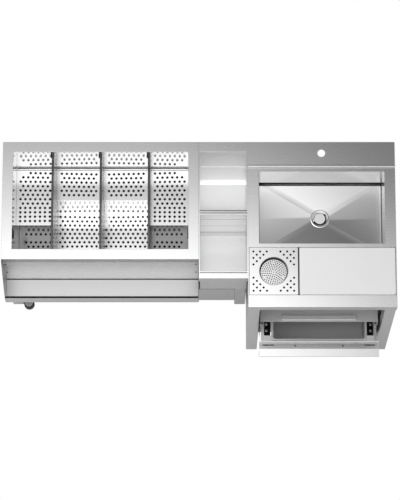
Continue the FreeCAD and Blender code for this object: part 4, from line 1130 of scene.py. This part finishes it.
# %% Folded strips
def folded(name, x0, x1, section, thick, fold=1.5):
    """Extrudes an edge through the section's (deep, z) points, rounds the folds and thickens the strip."""
    bpy.ops.object.select_all(action="DESELECT")
    deep, z = section[0]
    next_deep, next_z = section[1]
    strip = sheet(name, x0, x1, deep, deep + 1, z)
    alone(strip)
    bpy.ops.object.mode_set(mode="EDIT")
    shape = bmesh.from_edit_mesh(strip.data)
    for vertex in shape.verts:
        if drawn_at(vertex.co)[1] > deep + 0.5:
            vertex.co = spot(drawn_at(vertex.co)[0], next_deep, next_z)
    bmesh.update_edit_mesh(strip.data)
    for (deep, z), (next_deep, next_z) in zip(section[1:], section[2:]):
        pick_edges(
            strip,
            lambda a, b: abs(a[0] - b[0]) > 1 and all(math.dist(p[1:], (deep, z)) < 0.05 for p in (a, b)),
        )
        move = spot(0, next_deep, next_z) - spot(0, deep, z)
        bpy.ops.mesh.extrude_edges_move(TRANSFORM_OT_translate={"value": move})
    inner = section[1:-1]
    pick_edges(
        strip,
        lambda a, b: abs(a[0] - b[0]) > 1 and any(math.dist(a[1:], p) < 0.05 for p in inner),
    )
    bevel_picked(fold, 3)
    object_mode()
    applied(strip, "SOLIDIFY", thickness=thick * MM, offset=-1)
    return strip


# %% Housing pull
low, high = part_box("housing_pull")
pull_x0, pull_front, pull_foot = drawn_at(low)
pull_x1, pull_back, pull_top = drawn_at(high)
print("pull from", round(pull_x0), "to", round(pull_x1), "with its lip at", round(pull_front))
pull = folded(
    "housing_pull_formed", pull_x0, pull_x1,
    [(pull_back, pull_top), (pull_front - 0.5, pull_top), (pull_front - 0.5, pull_foot + 0.5)],
    1.5,
)
# Painted highlight: the top of the pull's lip is a pale non-metallic white.
finished(
    pull, inner_steel, "housing_pull", second=painted_highlight_white,
    where=lambda x, deep, z, n: deep > pull_front - 3.5 and z > pull_top - 1,
)

# %% Drawer front
FRONT_BACK, CHANNEL_BACK, CHANNEL_FRONT, NOSE = 832.4, 839.5, 870.0, 907.0
front = folded(
    "drawer_front_formed", 282.5, 842.5,
    [
        (FRONT_BACK, 415), (CHANNEL_BACK, 415), (CHANNEL_BACK, 403), (CHANNEL_FRONT, 403),
        (CHANNEL_FRONT, 416), (NOSE - 0.5, 411.5), (NOSE - 0.5, 405),
    ],
    1.6,
    0.8,
)
apron_strip = folded(
    "apron_strip", 283, 842, [(CHANNEL_FRONT - 0.2, 402), (CHANNEL_FRONT - 0.2, 265.5), (860, 265.5)], 1.6
)
for x0, x1 in ((300, 350), (775, 825)):
    groove(front, x0, x1, 847.8, 852.6, 401.9, 405)
join(front, apron_strip)
# Painted shade: the slot floors are nearly black and the upright faces take the darker satin; painted
# highlight: the rear flange's top is a pale non-metallic white.
finished(
    front, drawer_steel, "drawer_front", second=satin_upright_shaded,
    extra=[
        (painted_shade, lambda x, deep, z, n: 401 < z < 402.6 and 847 < deep < 853.5 and n.z > 0.5),
        (painted_highlight_white, lambda x, deep, z, n: z > 413.5 and deep < 841 and n.z > 0.5),
    ],
)
print("drawer front faces:", len(front.data.polygons))

# %% [markdown]
# ### Drawer arms
# Each arm is a bar in its slide with an upright web. Two short rests carry the bin's rim, so the gap beside
# the bin stays open above a strip with two rivets, whose top is painted in shade, nearly black.

# %% Drawer arms
SINK_MIDDLE = 562.5
arms = None
for side in (-1, 1):
    def mirrored(a, b, side=side):
        return sorted((SINK_MIDDLE + side * a, SINK_MIDDLE + side * b))

    arm_parts = [
        slab("arm", *mirrored(258.5, 270.5), 426, 868, 336.5, 377.5),
        slab("web", *mirrored(257, 259), 426, 832, 336.5, 409),
        slab("rest_front", *mirrored(218.5, 257.5), 806, 832, 409, 411),
        slab("rest_rear", *mirrored(218.5, 257.5), 426, 460, 409, 411),
        slab("arm_shade_strip", *mirrored(226, 257.5), 462, 831, 338, 340),
        slab("rivet_rear", *mirrored(240, 250), 732, 743, 340, 342.5),
        slab("rivet_front", *mirrored(240, 250), 762, 773, 340, 342.5),
    ]
    for part in arm_parts:
        rounded(part, 0.5, 2, lambda a, b: abs(a[1] - b[1]) > 1)
    joined = join(arm_parts[0], *arm_parts[1:])
    arms = join(arms, joined) if arms else joined
arms.name = "drawer_arms_formed"
# Painted shade: the top of the strip under the gap is nearly black.
finished(
    arms, inner_steel, "drawer_arms", second=painted_shade, where=lambda x, deep, z, n: z < 340.2 and n.z > 0.5
)

# %% [markdown]
# ## The CAD nodes
# The pieces above stand for these nodes. Each node still gets a plain steel, so that none is left without
# a finish.

# %% CAD nodes
for node, thing in frame["nodes"].items():
    thing.data.materials.clear()
    thing.data.materials.append(satin_upright_shaded)
